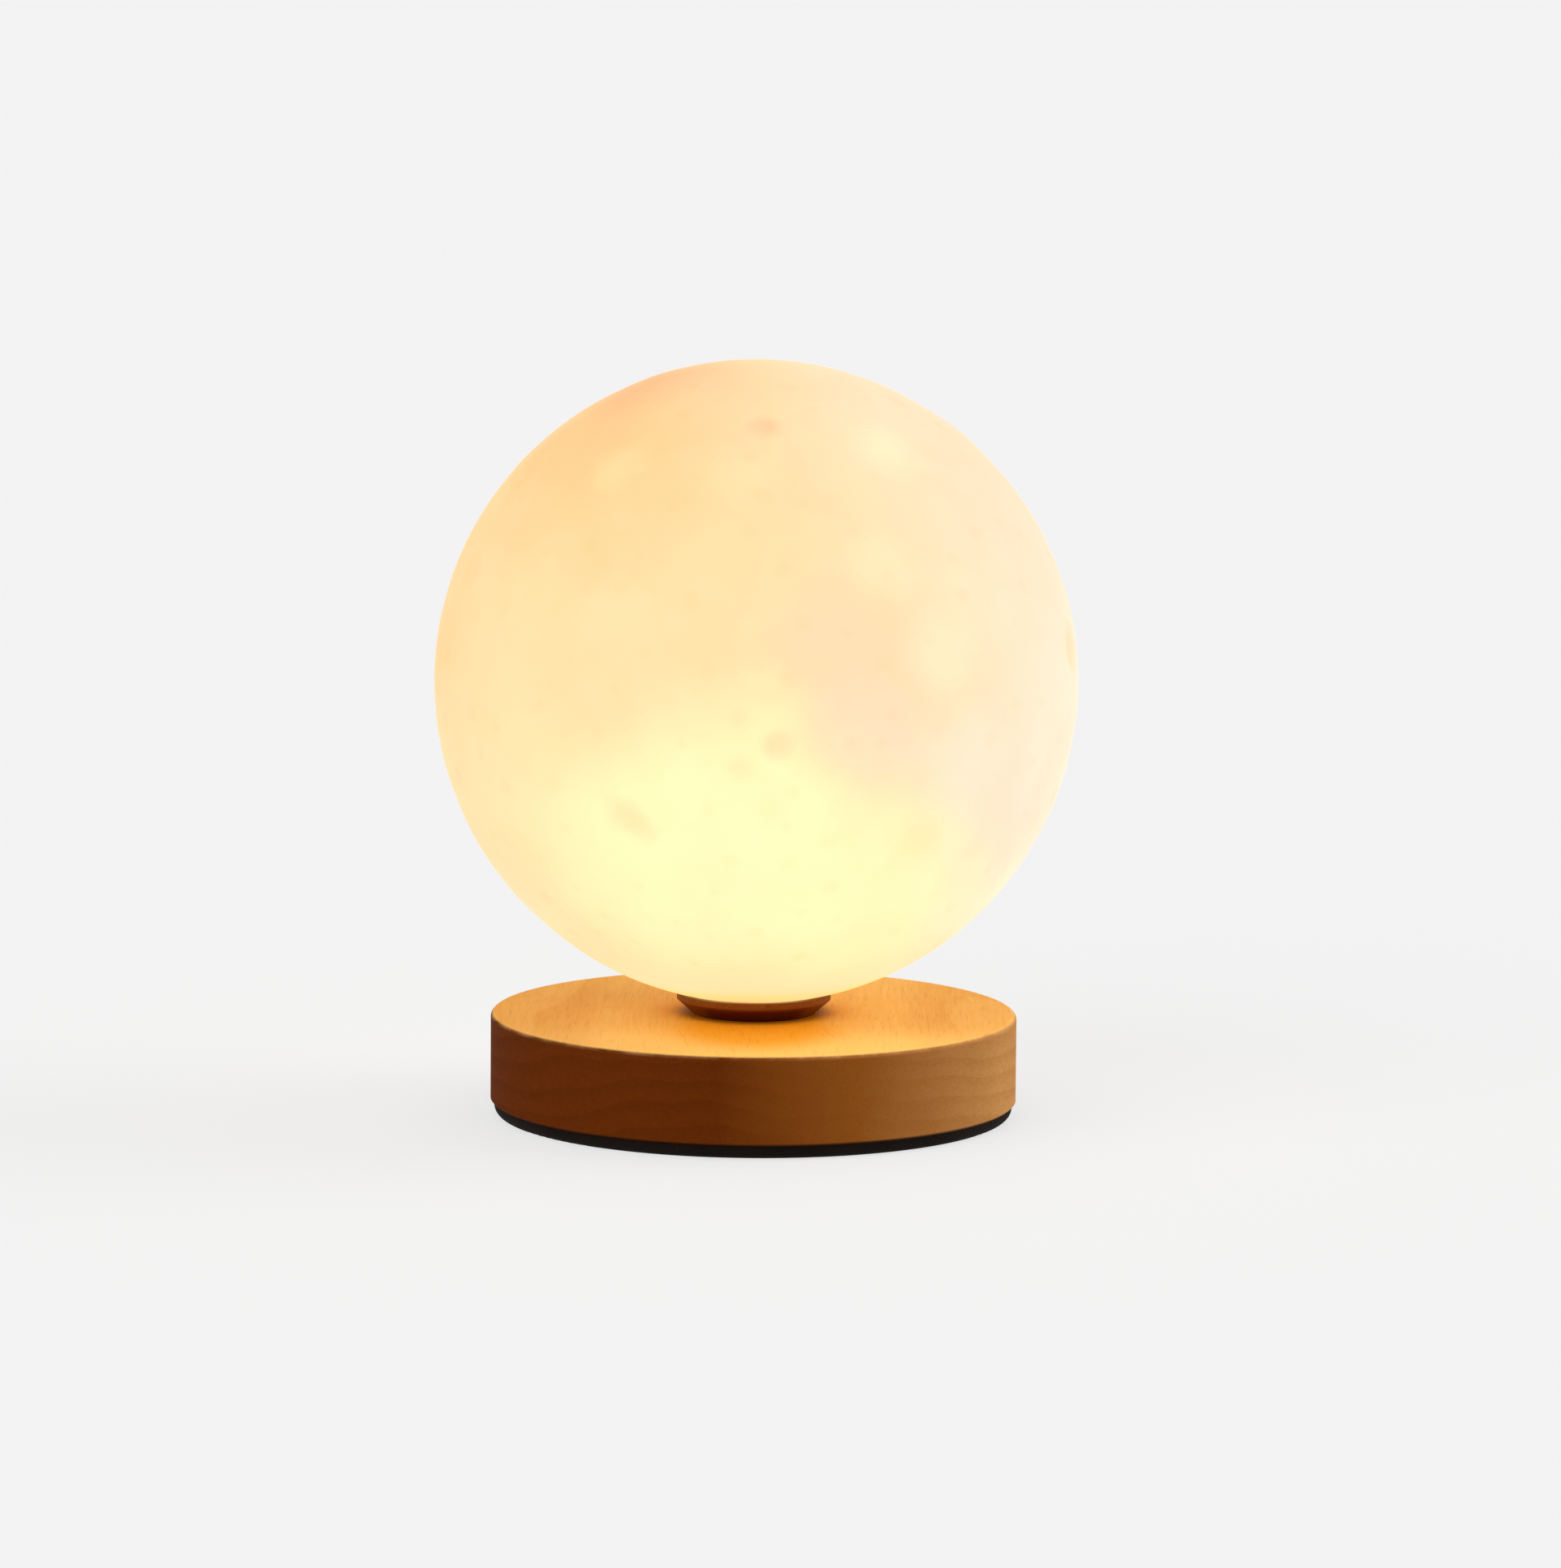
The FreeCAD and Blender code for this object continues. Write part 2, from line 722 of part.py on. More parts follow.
def header(x):
    """Two-pin socket on the board, open towards the front."""
    front = header_front_y
    block = box(x - header_width / 2, x + header_width / 2, front, front + header_depth,
                board_top_z, board_top_z + header_height)
    half_width = header_width / 2 - header_wall
    half_height = header_height / 2 - header_wall
    depth = plug_insertion + plug_clearance
    return block.cut(box(x - half_width, x + half_width, front, front + depth,
                         wire_z - half_height, wire_z + half_height))


def plug(x):
    """Two-pin plug pushed into its socket."""
    half_width = header_width / 2 - header_wall - plug_clearance
    half_height = header_height / 2 - header_wall - plug_clearance
    return box(x - half_width, x + half_width, plug_front_y, plug_front_y + plug_length,
               wire_z - half_height, wire_z + half_height)


def led_wire(side):
    """Wire from the light board down the nipple and back to its plug."""
    x = side * wire_pitch / 2
    points = [V(x, 0, spigot_top_z), V(x, 0, wire_z), V(x, plug_front_y, wire_z)]
    return tube(points, wire_diameter, led_wire_bend_limit)


def battery_wire(side):
    """Wire from the battery's protection board, stepped aside, to its plug."""
    x = battery_header_x + side * wire_pitch / 2
    straight = (plug_front_y - strip_back_y) * battery_wire_turn_share
    near = plug_front_y - straight
    far = strip_back_y + straight
    aside = battery_wire_inset - strip_half_width + side * wire_pitch / 2
    points = [V(x, plug_front_y, wire_z), V(x, near, wire_z), V(aside, far, wire_z),
              V(aside, strip_back_y, wire_z)]
    return tube(points, wire_diameter, battery_wire_bend_limit)


# ---- Battery ------------------------------------------------------------------------------------

def battery_cell():
    """Flat pouch cell with rounded long sides."""
    cell = box(-cell_width / 2, cell_width / 2, cell_front_y, cell_back_y,
               cell_top_z - cell_thickness, cell_top_z)
    long_edges = [e for e in cell.Edges if e.BoundBox.YLength > 1]
    return cell.makeFillet(cell_corner, long_edges)


def battery_protection_board():
    """Narrow strip on the cell's back edge, which the leads are soldered to."""
    middle_z = cell_top_z - cell_thickness / 2
    return box(-strip_half_width, strip_half_width, cell_back_y, strip_back_y,
               middle_z - strip_height / 2, middle_z + strip_height / 2)


def battery_tape():
    """Foam tape between the cell and the wood."""
    half = cell_width / 2 - tape_margin
    return box(-half, half, cell_front_y + tape_margin, cell_back_y - tape_margin, cell_top_z, ceiling_z)


# ---- Rear bezel, port, light pipe and button ----------------------------------------------------

def rear_bezel():
    """Plastic insert flush with the wood, with the port's slot and the button's hole."""
    blank = rounded_block(bezel_half_width - bezel_clearance, bezel_height / 2 - bezel_clearance,
                          bezel_corner - bezel_clearance, bezel_back_y, base_radius + overcut, port_z)
    bezel = blank.common(rod(base_radius, wood_bottom_z, wood_top_z))
    front = base_radius + overcut
    bezel = bezel.cut(port_block(-usb_slot_clearance, bezel_back_y, front))
    bezel = bezel.cut(rod_y(button_diameter / 2 + button_clearance, bezel_back_y, front, button_x, port_z))
    bezel = bezel.cut(rod_y(light_pipe_diameter / 2 + pilot_clearance, bezel_back_y, front,
                            light_pipe_x, port_z))
    thread, head, head_height = bezel_screw_size
    for x in (-bezel_screw_x, bezel_screw_x):
        hole = (thread + screw_hole_clearance) / 2
        face_y = bezel_screw_face_y()
        sink = Part.makeCone(thread / 2 + pilot_clearance, head / 2 + pilot_clearance, head_height,
                             V(x, face_y - head_height, port_z), V(0, 1, 0))
        bezel = bezel.cut(rod_y(hole, bezel_back_y, front, x, port_z)).cut(sink)
        bezel = bezel.cut(rod_y(head / 2 + pilot_clearance, face_y, front, x, port_z))
    return bezel


def bezel_screw_face_y():
    """Where the screw heads' faces lie, just under the curved face on its low side."""
    outer_x = bezel_screw_x + bezel_screw_size[1] / 2
    return math.sqrt(base_radius ** 2 - outer_x ** 2)


def bezel_screws():
    """Two countersunk screws through the bezel into the wood."""
    screws = []
    length = bezel_screw_face_y() - bezel_back_y + bezel_screw_bite
    for x in (-bezel_screw_x, bezel_screw_x):
        screw = flat_screw(bezel_screw_size, length)
        screw.rotate(V(0, 0, 0), V(1, 0, 0), 90)
        screws.append(screw.translated(V(x, bezel_screw_face_y(), port_z)))
    return Part.makeCompound(screws)


def port_block(inset, y0, y1):
    """Block with the port's outline, smaller by an inset all round."""
    half_height = usb_height / 2 - inset
    return rounded_block(usb_width / 2 - inset, half_height, half_height * full_corner_share, y0, y1, port_z)


def usb_socket_shell():
    """Metal shell of the charging port, open at the back of the lamp."""
    outside = port_block(0, usb_back_y, usb_mouth_y)
    inside = port_block(usb_wall, usb_back_y + usb_wall, usb_mouth_y + overcut)
    return outside.cut(inside)


def usb_socket_blade():
    """Plastic block and contact blade inside the port's shell."""
    back = usb_back_y + usb_wall
    block = port_block(usb_wall + pilot_clearance, back, back + usb_block_length)
    blade = box(-usb_blade_width / 2, usb_blade_width / 2, back + usb_block_length / 2,
                usb_mouth_y - usb_blade_recess,
                port_z - usb_blade_thickness / 2, port_z + usb_blade_thickness / 2)
    return block.fuse(blade).removeSplitter()


def light_pipe():
    """Clear rod that shows the charging light at the bezel's face."""
    back = bezel_back_y - tongue_gap
    pipe = rod_y(light_pipe_diameter / 2, back, base_radius + overcut, light_pipe_x, port_z)
    return pipe.common(rod(base_radius, wood_bottom_z, wood_top_z))


def charge_led():
    """Side-facing charging light behind the light pipe."""
    front = bezel_back_y - tongue_gap - charge_led_gap
    height = port_z - board_top_z + light_pipe_diameter / 4
    return box(light_pipe_x - charge_led_length / 2, light_pipe_x + charge_led_length / 2,
               front - charge_led_depth, front, board_top_z, board_top_z + height)


def tact_switch():
    """Side-push switch body with the hole that its plunger runs in."""
    body = box(button_x - switch_width / 2, button_x + switch_width / 2,
               switch_front_y - switch_depth, switch_front_y, board_top_z, board_top_z + switch_height)
    depth = plunger_inside() + button_travel + plunger_clearance
    return body.cut(rod_y(plunger_diameter / 2 + plunger_clearance, switch_front_y - depth, switch_front_y,
                          button_x, port_z))


def plunger_inside():
    """How far the plunger stands inside the switch at rest."""
    return switch_depth / 4


def switch_plunger():
    """Plunger of the switch, which the button pushes."""
    return rod_y(plunger_diameter / 2, switch_front_y - plunger_inside(), button_flange_back_y,
                 button_x, port_z)


def power_button():
    """Round push button, kept in the bezel by a flange behind it."""
    cap = rod_y(button_diameter / 2, button_flange_front_y, button_face_y, button_x, port_z)
    face_edge = [e for e in cap.Edges if abs(e.BoundBox.YMin - button_face_y) < nearly_nothing]
    cap = cap.makeFillet(button_proud / 2, face_edge)
    flange = rod_y(button_diameter / 2 + button_flange_width, button_flange_back_y, button_flange_front_y,
                   button_x, port_z)
    return cap.fuse(flange).removeSplitter()


# ---- Write every sub-part -----------------------------------------------------------------------

save("globe", globe())
save("globe_ring", globe_ring())
save("globe_collar", globe_collar())
save("globe_seal", globe_seal())
save("collar_nipple", collar_nipple())
save("nipple_washer", nipple_washer())
save("nipple_nut", nipple_nut())
save("led_board", led_board())
save("led_chips", led_chips())
save("led_board_screws", led_board_screws())
save("led_lens", led_lens())
save("wood_base", wood_base())
save("base_plate", base_plate())
save("base_screws", base_screws())
save("foot_pad", foot_pad())
save("control_board", control_board())
save("board_spacers", board_spacers())
save("board_screws", board_screws())
save("charge_chip", charge_chip())
save("inductor", inductor())
save("capacitors", capacitors())
save("led_socket", header(0.0))
save("led_plug", plug(0.0))
save("led_wire_red", led_wire(1))
save("led_wire_black", led_wire(-1))
save("battery_socket", header(battery_header_x))
save("battery_plug", plug(battery_header_x))
save("battery_wire_red", battery_wire(1))
save("battery_wire_black", battery_wire(-1))
save("battery_cell", battery_cell())
save("battery_protection_board", battery_protection_board())
save("battery_tape", battery_tape())
save("rear_bezel", rear_bezel())
save("bezel_screws", bezel_screws())
save("usb_socket_shell", usb_socket_shell())
save("usb_socket_blade", usb_socket_blade())
save("light_pipe", light_pipe())
save("charge_led", charge_led())
save("tact_switch", tact_switch())
save("switch_plunger", switch_plunger())
save("power_button", power_button())
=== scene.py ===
"""Looks of a cordless moon lamp: a lit, cratered globe on a dark collar and a round wooden base.

Every size is in metres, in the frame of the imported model: +Z up, +Y towards the back of the lamp.
"""

import json
import logging
import math
import random
from dataclasses import dataclass, field
from enum import Enum

import bmesh
import bpy
from mathutils import Matrix, Vector

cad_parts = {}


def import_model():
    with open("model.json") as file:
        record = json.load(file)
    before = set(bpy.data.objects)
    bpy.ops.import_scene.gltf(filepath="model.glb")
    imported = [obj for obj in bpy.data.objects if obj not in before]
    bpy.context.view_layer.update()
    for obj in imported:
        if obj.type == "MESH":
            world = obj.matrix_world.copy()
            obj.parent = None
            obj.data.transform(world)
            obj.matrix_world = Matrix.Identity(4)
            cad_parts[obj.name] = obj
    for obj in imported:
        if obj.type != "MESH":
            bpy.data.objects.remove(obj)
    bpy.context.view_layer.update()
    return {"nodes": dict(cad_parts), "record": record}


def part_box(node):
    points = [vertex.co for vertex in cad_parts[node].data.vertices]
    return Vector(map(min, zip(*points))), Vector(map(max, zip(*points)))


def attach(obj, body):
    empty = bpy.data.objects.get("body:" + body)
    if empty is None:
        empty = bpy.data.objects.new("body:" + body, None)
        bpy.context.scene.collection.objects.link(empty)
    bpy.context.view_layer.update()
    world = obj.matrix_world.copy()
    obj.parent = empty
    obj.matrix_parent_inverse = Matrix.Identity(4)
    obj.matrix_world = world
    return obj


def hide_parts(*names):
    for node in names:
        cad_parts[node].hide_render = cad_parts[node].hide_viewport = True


Colour = tuple[float, ...]
Span = tuple[float, float]
Node = bpy.types.Node
Socket = bpy.types.NodeSocket
Sockets = bpy.types.bpy_prop_collection
Tree = bpy.types.NodeTree
Material = bpy.types.Material
Thing = bpy.types.Object
Input = Socket | float | int | bool | str | tuple | bpy.types.ID

log = logging.getLogger("moon_lamp")

MM = 0.001


def srgb(code: str) -> Colour:
    """Turn six hexadecimal digits, as a paint chart writes them, into scene-linear values."""
    parts = (int(code[i:i + 2], 16) / 255 for i in (0, 2, 4))
    return tuple(p / 12.92 if p <= 0.04045 else ((p + 0.055) / 1.055) ** 2.4 for p in parts)


def dimmed(code: str, share: float) -> Colour:
    """Give a written colour at a share of its brightness, in linear values."""
    return tuple(c * share for c in srgb(code))


def heading(azimuth: float, elevation: float) -> Vector:
    """Give the unit direction at degrees from the front towards +X, and degrees above the level."""
    a, e = math.radians(azimuth), math.radians(elevation)
    return Vector((math.sin(a) * math.cos(e), -math.cos(a) * math.cos(e), math.sin(e)))


def add_thing(name: str, data: bpy.types.ID | bmesh.types.BMesh) -> Thing:
    """Put a mesh, a light or a camera into the scene.

    Args:
        name: the object's name, and its mesh's where the data is mesh code.
        data: what it shows. Mesh code is turned into a mesh and freed.

    Returns:
        The object, at the origin.
    """
    if isinstance(data, bmesh.types.BMesh):
        code, data = data, bpy.data.meshes.new(name)
        code.to_mesh(data)
        code.free()
    made = bpy.data.objects.new(name, data)
    bpy.context.scene.collection.objects.link(made)
    return made


# ---- Wiring of nodes ----


class Wiring:
    """Adds nodes to one tree and feeds their sockets."""

    def __init__(self, tree: Tree) -> None:
        """Keep the tree that is wired."""
        self.tree = tree

    def feed(self, socket: Socket, value: Input) -> None:
        """Link or set one socket.

        Args:
            socket: the input to feed.
            value: another node's output or a constant, which is a written or linear one for a colour.
        """
        if isinstance(value, Socket):
            self.tree.links.new(value, socket)
        elif socket.type == "RGBA":
            socket.default_value = (*(srgb(value) if isinstance(value, str) else value), 1.0)
        else:
            socket.default_value = value

    def node(self, kind: str, inputs: dict[str | int, Input] | None = None, **settings: object) -> Node:
        """Add a node.

        Args:
            kind: Blender's name for the node.
            inputs: values or links by the socket's name or place.
            **settings: the node's own options.

        Returns:
            The new node.
        """
        made = self.tree.nodes.new(kind)
        for name, value in settings.items():
            setattr(made, name, value)
        for name, value in (inputs or {}).items():
            self.feed(made.inputs[name], value)
        return made

    def sum(self, operation: str, *values: Input, clamp: bool = False) -> Socket:
        """Work out one number from one or two, kept from 0 to 1 where clamp is set."""
        made = self.node("ShaderNodeMath", dict(enumerate(values)), operation=operation, use_clamp=clamp)
        return made.outputs[0]

    def plus(self, first: Input, second: Input) -> Socket:
        """Add two numbers."""
        return self.sum("ADD", first, second)

    def minus(self, first: Input, second: Input) -> Socket:
        """Take the second number from the first."""
        return self.sum("SUBTRACT", first, second)

    def times(self, first: Input, second: Input) -> Socket:
        """Multiply two numbers."""
        return self.sum("MULTIPLY", first, second)

    def vector(self, operation: str, first: Input, second: Input = (0.0, 0.0, 0.0)) -> Socket:
        """Work out a vector or, where the operation gives one, a number."""
        made = self.node("ShaderNodeVectorMath", {0: first, 1: second}, operation=operation)
        return made.outputs["Value" if operation in ("LENGTH", "DISTANCE", "DOT_PRODUCT") else "Vector"]

    def scaled(self, vector: Input, factor: Input) -> Socket:
        """Multiply a vector by a number."""
        return self.node("ShaderNodeVectorMath", {0: vector, "Scale": factor}, operation="SCALE").outputs[0]

    def ramp(self, value: Input, start: Input, end: Input, low: Input = 0.0, high: Input = 1.0,
             smooth: bool = True) -> Socket:
        """Carry a value from one range over to another, and hold it at the ends.

        Args:
            value: what is carried.
            start: where the first range begins, above or below its end.
            end: where the first range ends.
            low: what a value at the start becomes.
            high: what a value at the end becomes.
            smooth: whether it is eased between the two.

        Returns:
            The carried value.
        """
        ends = {"Value": value, "From Min": start, "From Max": end, "To Min": low, "To Max": high}
        return self.node("ShaderNodeMapRange", ends,
                         interpolation_type="SMOOTHSTEP" if smooth else "LINEAR").outputs["Result"]

    def mix(self, share: Input, first: Input, second: Input, blend: str = "MIX") -> Socket:
        """Blend two colours, of which the second shows by a share."""
        colours = {0: share, 6: first, 7: second}
        return self.node("ShaderNodeMix", colours, data_type="RGBA", blend_type=blend).outputs[2]

    def noise(self, vector: Input, scale: Input, detail: float = 2.0, roughness: float = 0.5) -> Sockets:
        """Read a noise texture as a number, output 0, or as a colour, output 1."""
        return self.node("ShaderNodeTexNoise", {
            "Vector": vector, "Scale": scale, "Detail": detail, "Roughness": roughness}).outputs

    def split(self, vector: Input) -> Sockets:
        """Separate a vector into its X, Y and Z outputs."""
        return self.node("ShaderNodeSeparateXYZ", {0: vector}).outputs

    def flat(self, x: Input, y: Input) -> Socket:
        """Join two numbers into a vector with no Z."""
        return self.node("ShaderNodeCombineXYZ", {"X": x, "Y": y}).outputs[0]

    def azimuth(self, x: Input, y: Input) -> Socket:
        """Give the angle round from the front towards +X, in radians."""
        return self.sum("ARCTAN2", x, self.times(y, -1.0))


def open_tree(name: str, kind: str, gives: dict[str, str],
              takes: dict[str, str]) -> tuple[Wiring, Sockets, Sockets]:
    """Begin a node tree that materials or modifiers use.

    Args:
        name: the tree's name.
        kind: Shader or Geometry.
        gives: the names of its outputs, by kinds such as Vector or Float.
        takes: the same of its inputs.

    Returns:
        Its wiring, its inputs and its outputs.
    """
    tree = bpy.data.node_groups.new(name, kind + "NodeTree")
    for way, sockets in (("INPUT", takes), ("OUTPUT", gives)):
        for data, labels in sockets.items():
            for label in labels.split(", "):
                tree.interface.new_socket(label, in_out=way, socket_type="NodeSocket" + data)
    wiring = Wiring(tree)
    return wiring, wiring.node("NodeGroupInput").outputs, wiring.node("NodeGroupOutput").inputs


class SharedEffects:
    """Shader node groups for the effects that several finishes use. Each one is built once."""

    grey = (0.5, 0.5, 0.5)
    grain_share = 0.4
    worn_through = (0.3, 0.7)

    def __init__(self) -> None:
        """Start with no group built."""
        self.groups: dict[str, Tree] = {}

    def find(self, name: str) -> Tree:
        """Give an effect's group, which the method of that name builds at its first use.

        Args:
            name: the effect's name.

        Returns:
            Its node group.
        """
        if name not in self.groups:
            self.groups[name] = getattr(self, name)()
        return self.groups[name]

    def mottle(self) -> Tree:
        """Cloudy unevenness, from 0 to 1, with a set contrast.

        Returns:
            The effect's node group.
        """
        w, given, out = open_tree(
            "mottle", "Shader", {"Float": "Mask"}, {"Vector": "Vector", "Float": "Scale, Contrast"})
        cloud = w.noise(given["Vector"], given["Scale"], detail=4.0, roughness=0.55)[0]
        half = w.sum("DIVIDE", 0.5, given["Contrast"])
        w.feed(out["Mask"], w.ramp(cloud, w.minus(0.5, half), w.plus(0.5, half)))
        return w.tree

    def micro_texture(self) -> Tree:
        """Fine bump of a moulded, sprayed or cast skin: broad waves with grain on them.

        Returns:
            The effect's node group.
        """
        w, given, out = open_tree(
            "micro_texture", "Shader", {"Float": "Height"}, {"Vector": "Vector", "Float": "Grain, Waves"})
        grain = w.noise(given["Vector"], given["Grain"], detail=3.0, roughness=0.6)[0]
        waves = w.noise(given["Vector"], given["Waves"], detail=1.0)[0]
        w.feed(out["Height"], w.plus(w.times(grain, self.grain_share), waves))
        return w.tree

    def rim_wear(self) -> Tree:
        """Rubbed band along a round edge about the lamp's axis.

        Returns:
            The effect's node group.
        """
        w, given, out = open_tree("rim_wear", "Shader", {"Float": "Mask"}, {
            "Vector": "Vector", "Float": "Radius, Height, Width, Scale"})
        x, y, z = w.split(given["Vector"])[:3]
        outward = w.vector("LENGTH", w.flat(x, y))
        away = w.flat(w.minus(outward, given["Radius"]), w.minus(z, given["Height"]))
        band = w.ramp(w.vector("LENGTH", away), given["Width"], 0.0)
        broken = w.noise(given["Vector"], given["Scale"], detail=4.0, roughness=0.65)[0]
        w.feed(out["Mask"], w.times(band, w.ramp(broken, *self.worn_through)))
        return w.tree

    def round_patch(self) -> Tree:
        """Soft round patch about one direction from a middle point.

        Returns:
            The effect's node group.
        """
        w, given, out = open_tree("round_patch", "Shader", {"Float": "Mask"}, {
            "Vector": "Vector, Towards", "Float": "Core, Edge"})
        turn = w.sum("ARCCOSINE", w.vector("DOT_PRODUCT", given["Vector"], given["Towards"]))
        w.feed(out["Mask"], w.ramp(turn, given["Edge"], given["Core"]))
        return w.tree

    def wood_grain(self) -> Tree:
        """Solid grain of a flat-sawn board whose fibres run along Y: rings, fibres and pores.

        Returns:
            The effect's node group.
        """
        sway_stretch, ring_stretch, fibre_stretch = (1.0, 0.22, 1.0), (1.0, 0.16, 1.0), (1.0, 0.045, 1.0)
        sway_scale, sway_reach, pore_fineness = 38.0, 0.011, 1.7
        late_wood, ring_end, pore_edge = (0.15, 0.92), (1.0, 0.93), (0.60, 0.70)
        w, given, out = open_tree("wood_grain", "Shader", {"Float": "Rings, Fibres, Pores"}, {
            "Vector": "Vector, Pith", "Float": "Ring Pitch, Fibre Scale"})
        sway = w.noise(w.vector("MULTIPLY", given["Vector"], sway_stretch), sway_scale)[1]
        sideways = w.scaled(w.vector("SUBTRACT", sway, self.grey), sway_reach)
        swayed = w.vector("ADD", given["Vector"], sideways)
        from_pith = w.vector("MULTIPLY", w.vector("SUBTRACT", swayed, given["Pith"]), ring_stretch)
        saw = w.sum("FRACT", w.sum("DIVIDE", w.vector("LENGTH", from_pith), given["Ring Pitch"]))
        w.feed(out["Rings"], w.times(w.ramp(saw, *late_wood), w.ramp(saw, *ring_end)))
        drawn = w.vector("MULTIPLY", swayed, fibre_stretch)
        w.feed(out["Fibres"], w.noise(drawn, given["Fibre Scale"], detail=4.0, roughness=0.62)[0])
        dashes = w.noise(drawn, w.times(given["Fibre Scale"], pore_fineness), detail=1.0)[0]
        w.feed(out["Pores"], w.ramp(dashes, *pore_edge))
        return w.tree


class Coat(Wiring):
    """One material: its wiring, its Principled shader and its object coordinates."""

    def __init__(self, name: str, effects: SharedEffects) -> None:
        """Make the material and join a plain shader to its output.

        Args:
            name: the material's name.
            effects: the shared node groups.
        """
        self.material = bpy.data.materials.new(name)
        self.material.use_nodes = True
        self.material.node_tree.nodes.clear()
        super().__init__(self.material.node_tree)
        self.effects = effects
        self.shader = self.node("ShaderNodeBsdfPrincipled")
        self.node("ShaderNodeOutputMaterial", {"Surface": self.shader.outputs[0]})
        self.place = self.node("ShaderNodeTexCoord").outputs["Object"]

    def set(self, **inputs: Input) -> None:
        """Feed inputs of the shader by their names, with an underscore for each space."""
        for name, value in inputs.items():
            self.feed(self.shader.inputs[name.replace("_", " ")], value)

    def effect(self, name: str, inputs: dict[str, Input]) -> Sockets:
        """Put a shared effect in, read at the object coordinates unless its inputs name a vector."""
        inputs = {"Vector": self.place, **inputs}
        return self.node("ShaderNodeGroup", inputs, node_tree=self.effects.find(name)).outputs

    def mottle(self, scale: float, contrast: float, **inputs: Input) -> Socket:
        """Give a cloudy mask from 0 to 1."""
        return self.effect("mottle", {"Scale": scale, "Contrast": contrast, **inputs})["Mask"]

    def skin(self, grain: float, waves: float, **inputs: Input) -> Socket:
        """Give the height of a fine skin."""
        return self.effect("micro_texture", {"Grain": grain, "Waves": waves, **inputs})["Height"]

    def cells(self, scale: float, randomness: float = 1.0, **settings: str) -> Socket:
        """Give the distance from the middles of scattered cells."""
        cells = {"Vector": self.place, "Scale": scale, "Randomness": randomness}
        return self.node("ShaderNodeTexVoronoi", cells, **settings).outputs["Distance"]

    def bump(self, height: Input, depth: float, share: float = 1.0) -> None:
        """Feed a height into the shader's normal, by a depth in metres and a share that is felt."""
        made = self.node("ShaderNodeBump", {"Height": height, "Distance": depth, "Strength": share})
        self.set(Normal=made.outputs[0])


# ---- Finishes ----


@dataclass(frozen=True)
class Finish:
    """What every finish has: its slot in the record, its colour and its gloss."""

    slot: str
    colour: str
    roughness: float = 0.5
    specular: float = 0.5

    def make(self, effects: SharedEffects) -> Material:
        """Build the material.

        Args:
            effects: the shared node groups.

        Returns:
            The material, wired to its output.
        """
        coat = Coat(self.slot + "_finish", effects)
        coat.set(Base_Color=self.colour, Roughness=self.roughness, Specular_IOR_Level=self.specular)
        self.paint(coat)
        return coat.material

    def paint(self, coat: Coat) -> None:
        """Add what is special about this finish."""
        raise NotImplementedError

    def gloss(self, coat: Coat, mask: Input, shares: Span, ends: Span = (0.0, 1.0)) -> None:
        """Let the roughness wander with a mask, between two shares of its value."""
        low, high = (min(1.0, self.roughness * share) for share in shares)
        coat.set(Roughness=coat.ramp(mask, *ends, low, high))


@dataclass(frozen=True)
class MouldedFinish(Finish):
    """Moulded plastic, rubber, ceramic or paint: slightly uneven colour over a fine skin."""

    shade: float = 0.12
    grain: float = 2600.0
    waves: float = 260.0
    depth: float = 0.03 * MM

    def paint(self, coat: Coat) -> None:
        """Mottle the colour and gloss, and press the grain in.

        Args:
            coat: the material's wiring.
        """
        cloud = coat.mottle(self.waves, contrast=1.6)
        coat.set(Base_Color=coat.mix(cloud, dimmed(self.colour, 1 - self.shade), self.colour))
        self.gloss(coat, cloud, shares=(0.9, 1.12))
        coat.bump(coat.skin(self.grain, self.waves), self.depth)


class Working(Enum):
    """How a metal's surface was made: the stretch of its marks along X, Y and Z."""

    BRUSHED = (0.06, 1.0, 1.0)
    TURNED = (1.0, 1.0, 3.0)
    PLATED = (1.0, 1.0, 1.0)


@dataclass(frozen=True)
class MetalFinish(Finish):
    """Plated, brushed or turned metal."""

    working: Working = Working.PLATED
    marks: float = 2200.0
    marks_per_wave: float = 6.0
    cloud_scale: float = 420.0
    dulled: float = 0.82
    depth: float = 0.01 * MM

    def paint(self, coat: Coat) -> None:
        """Give the metal its marks and its cloudy plating.

        Args:
            coat: the material's wiring.
        """
        cloud = coat.mottle(self.cloud_scale, contrast=1.3)
        coat.set(Metallic=1.0, Base_Color=coat.mix(cloud, dimmed(self.colour, self.dulled), self.colour))
        drawn = coat.vector("MULTIPLY", coat.place, self.working.value)
        skin = coat.skin(self.marks, self.marks / self.marks_per_wave, Vector=drawn)
        self.gloss(coat, skin, shares=(0.8, 1.3), ends=(0.3, 1.1))
        coat.bump(skin, self.depth)


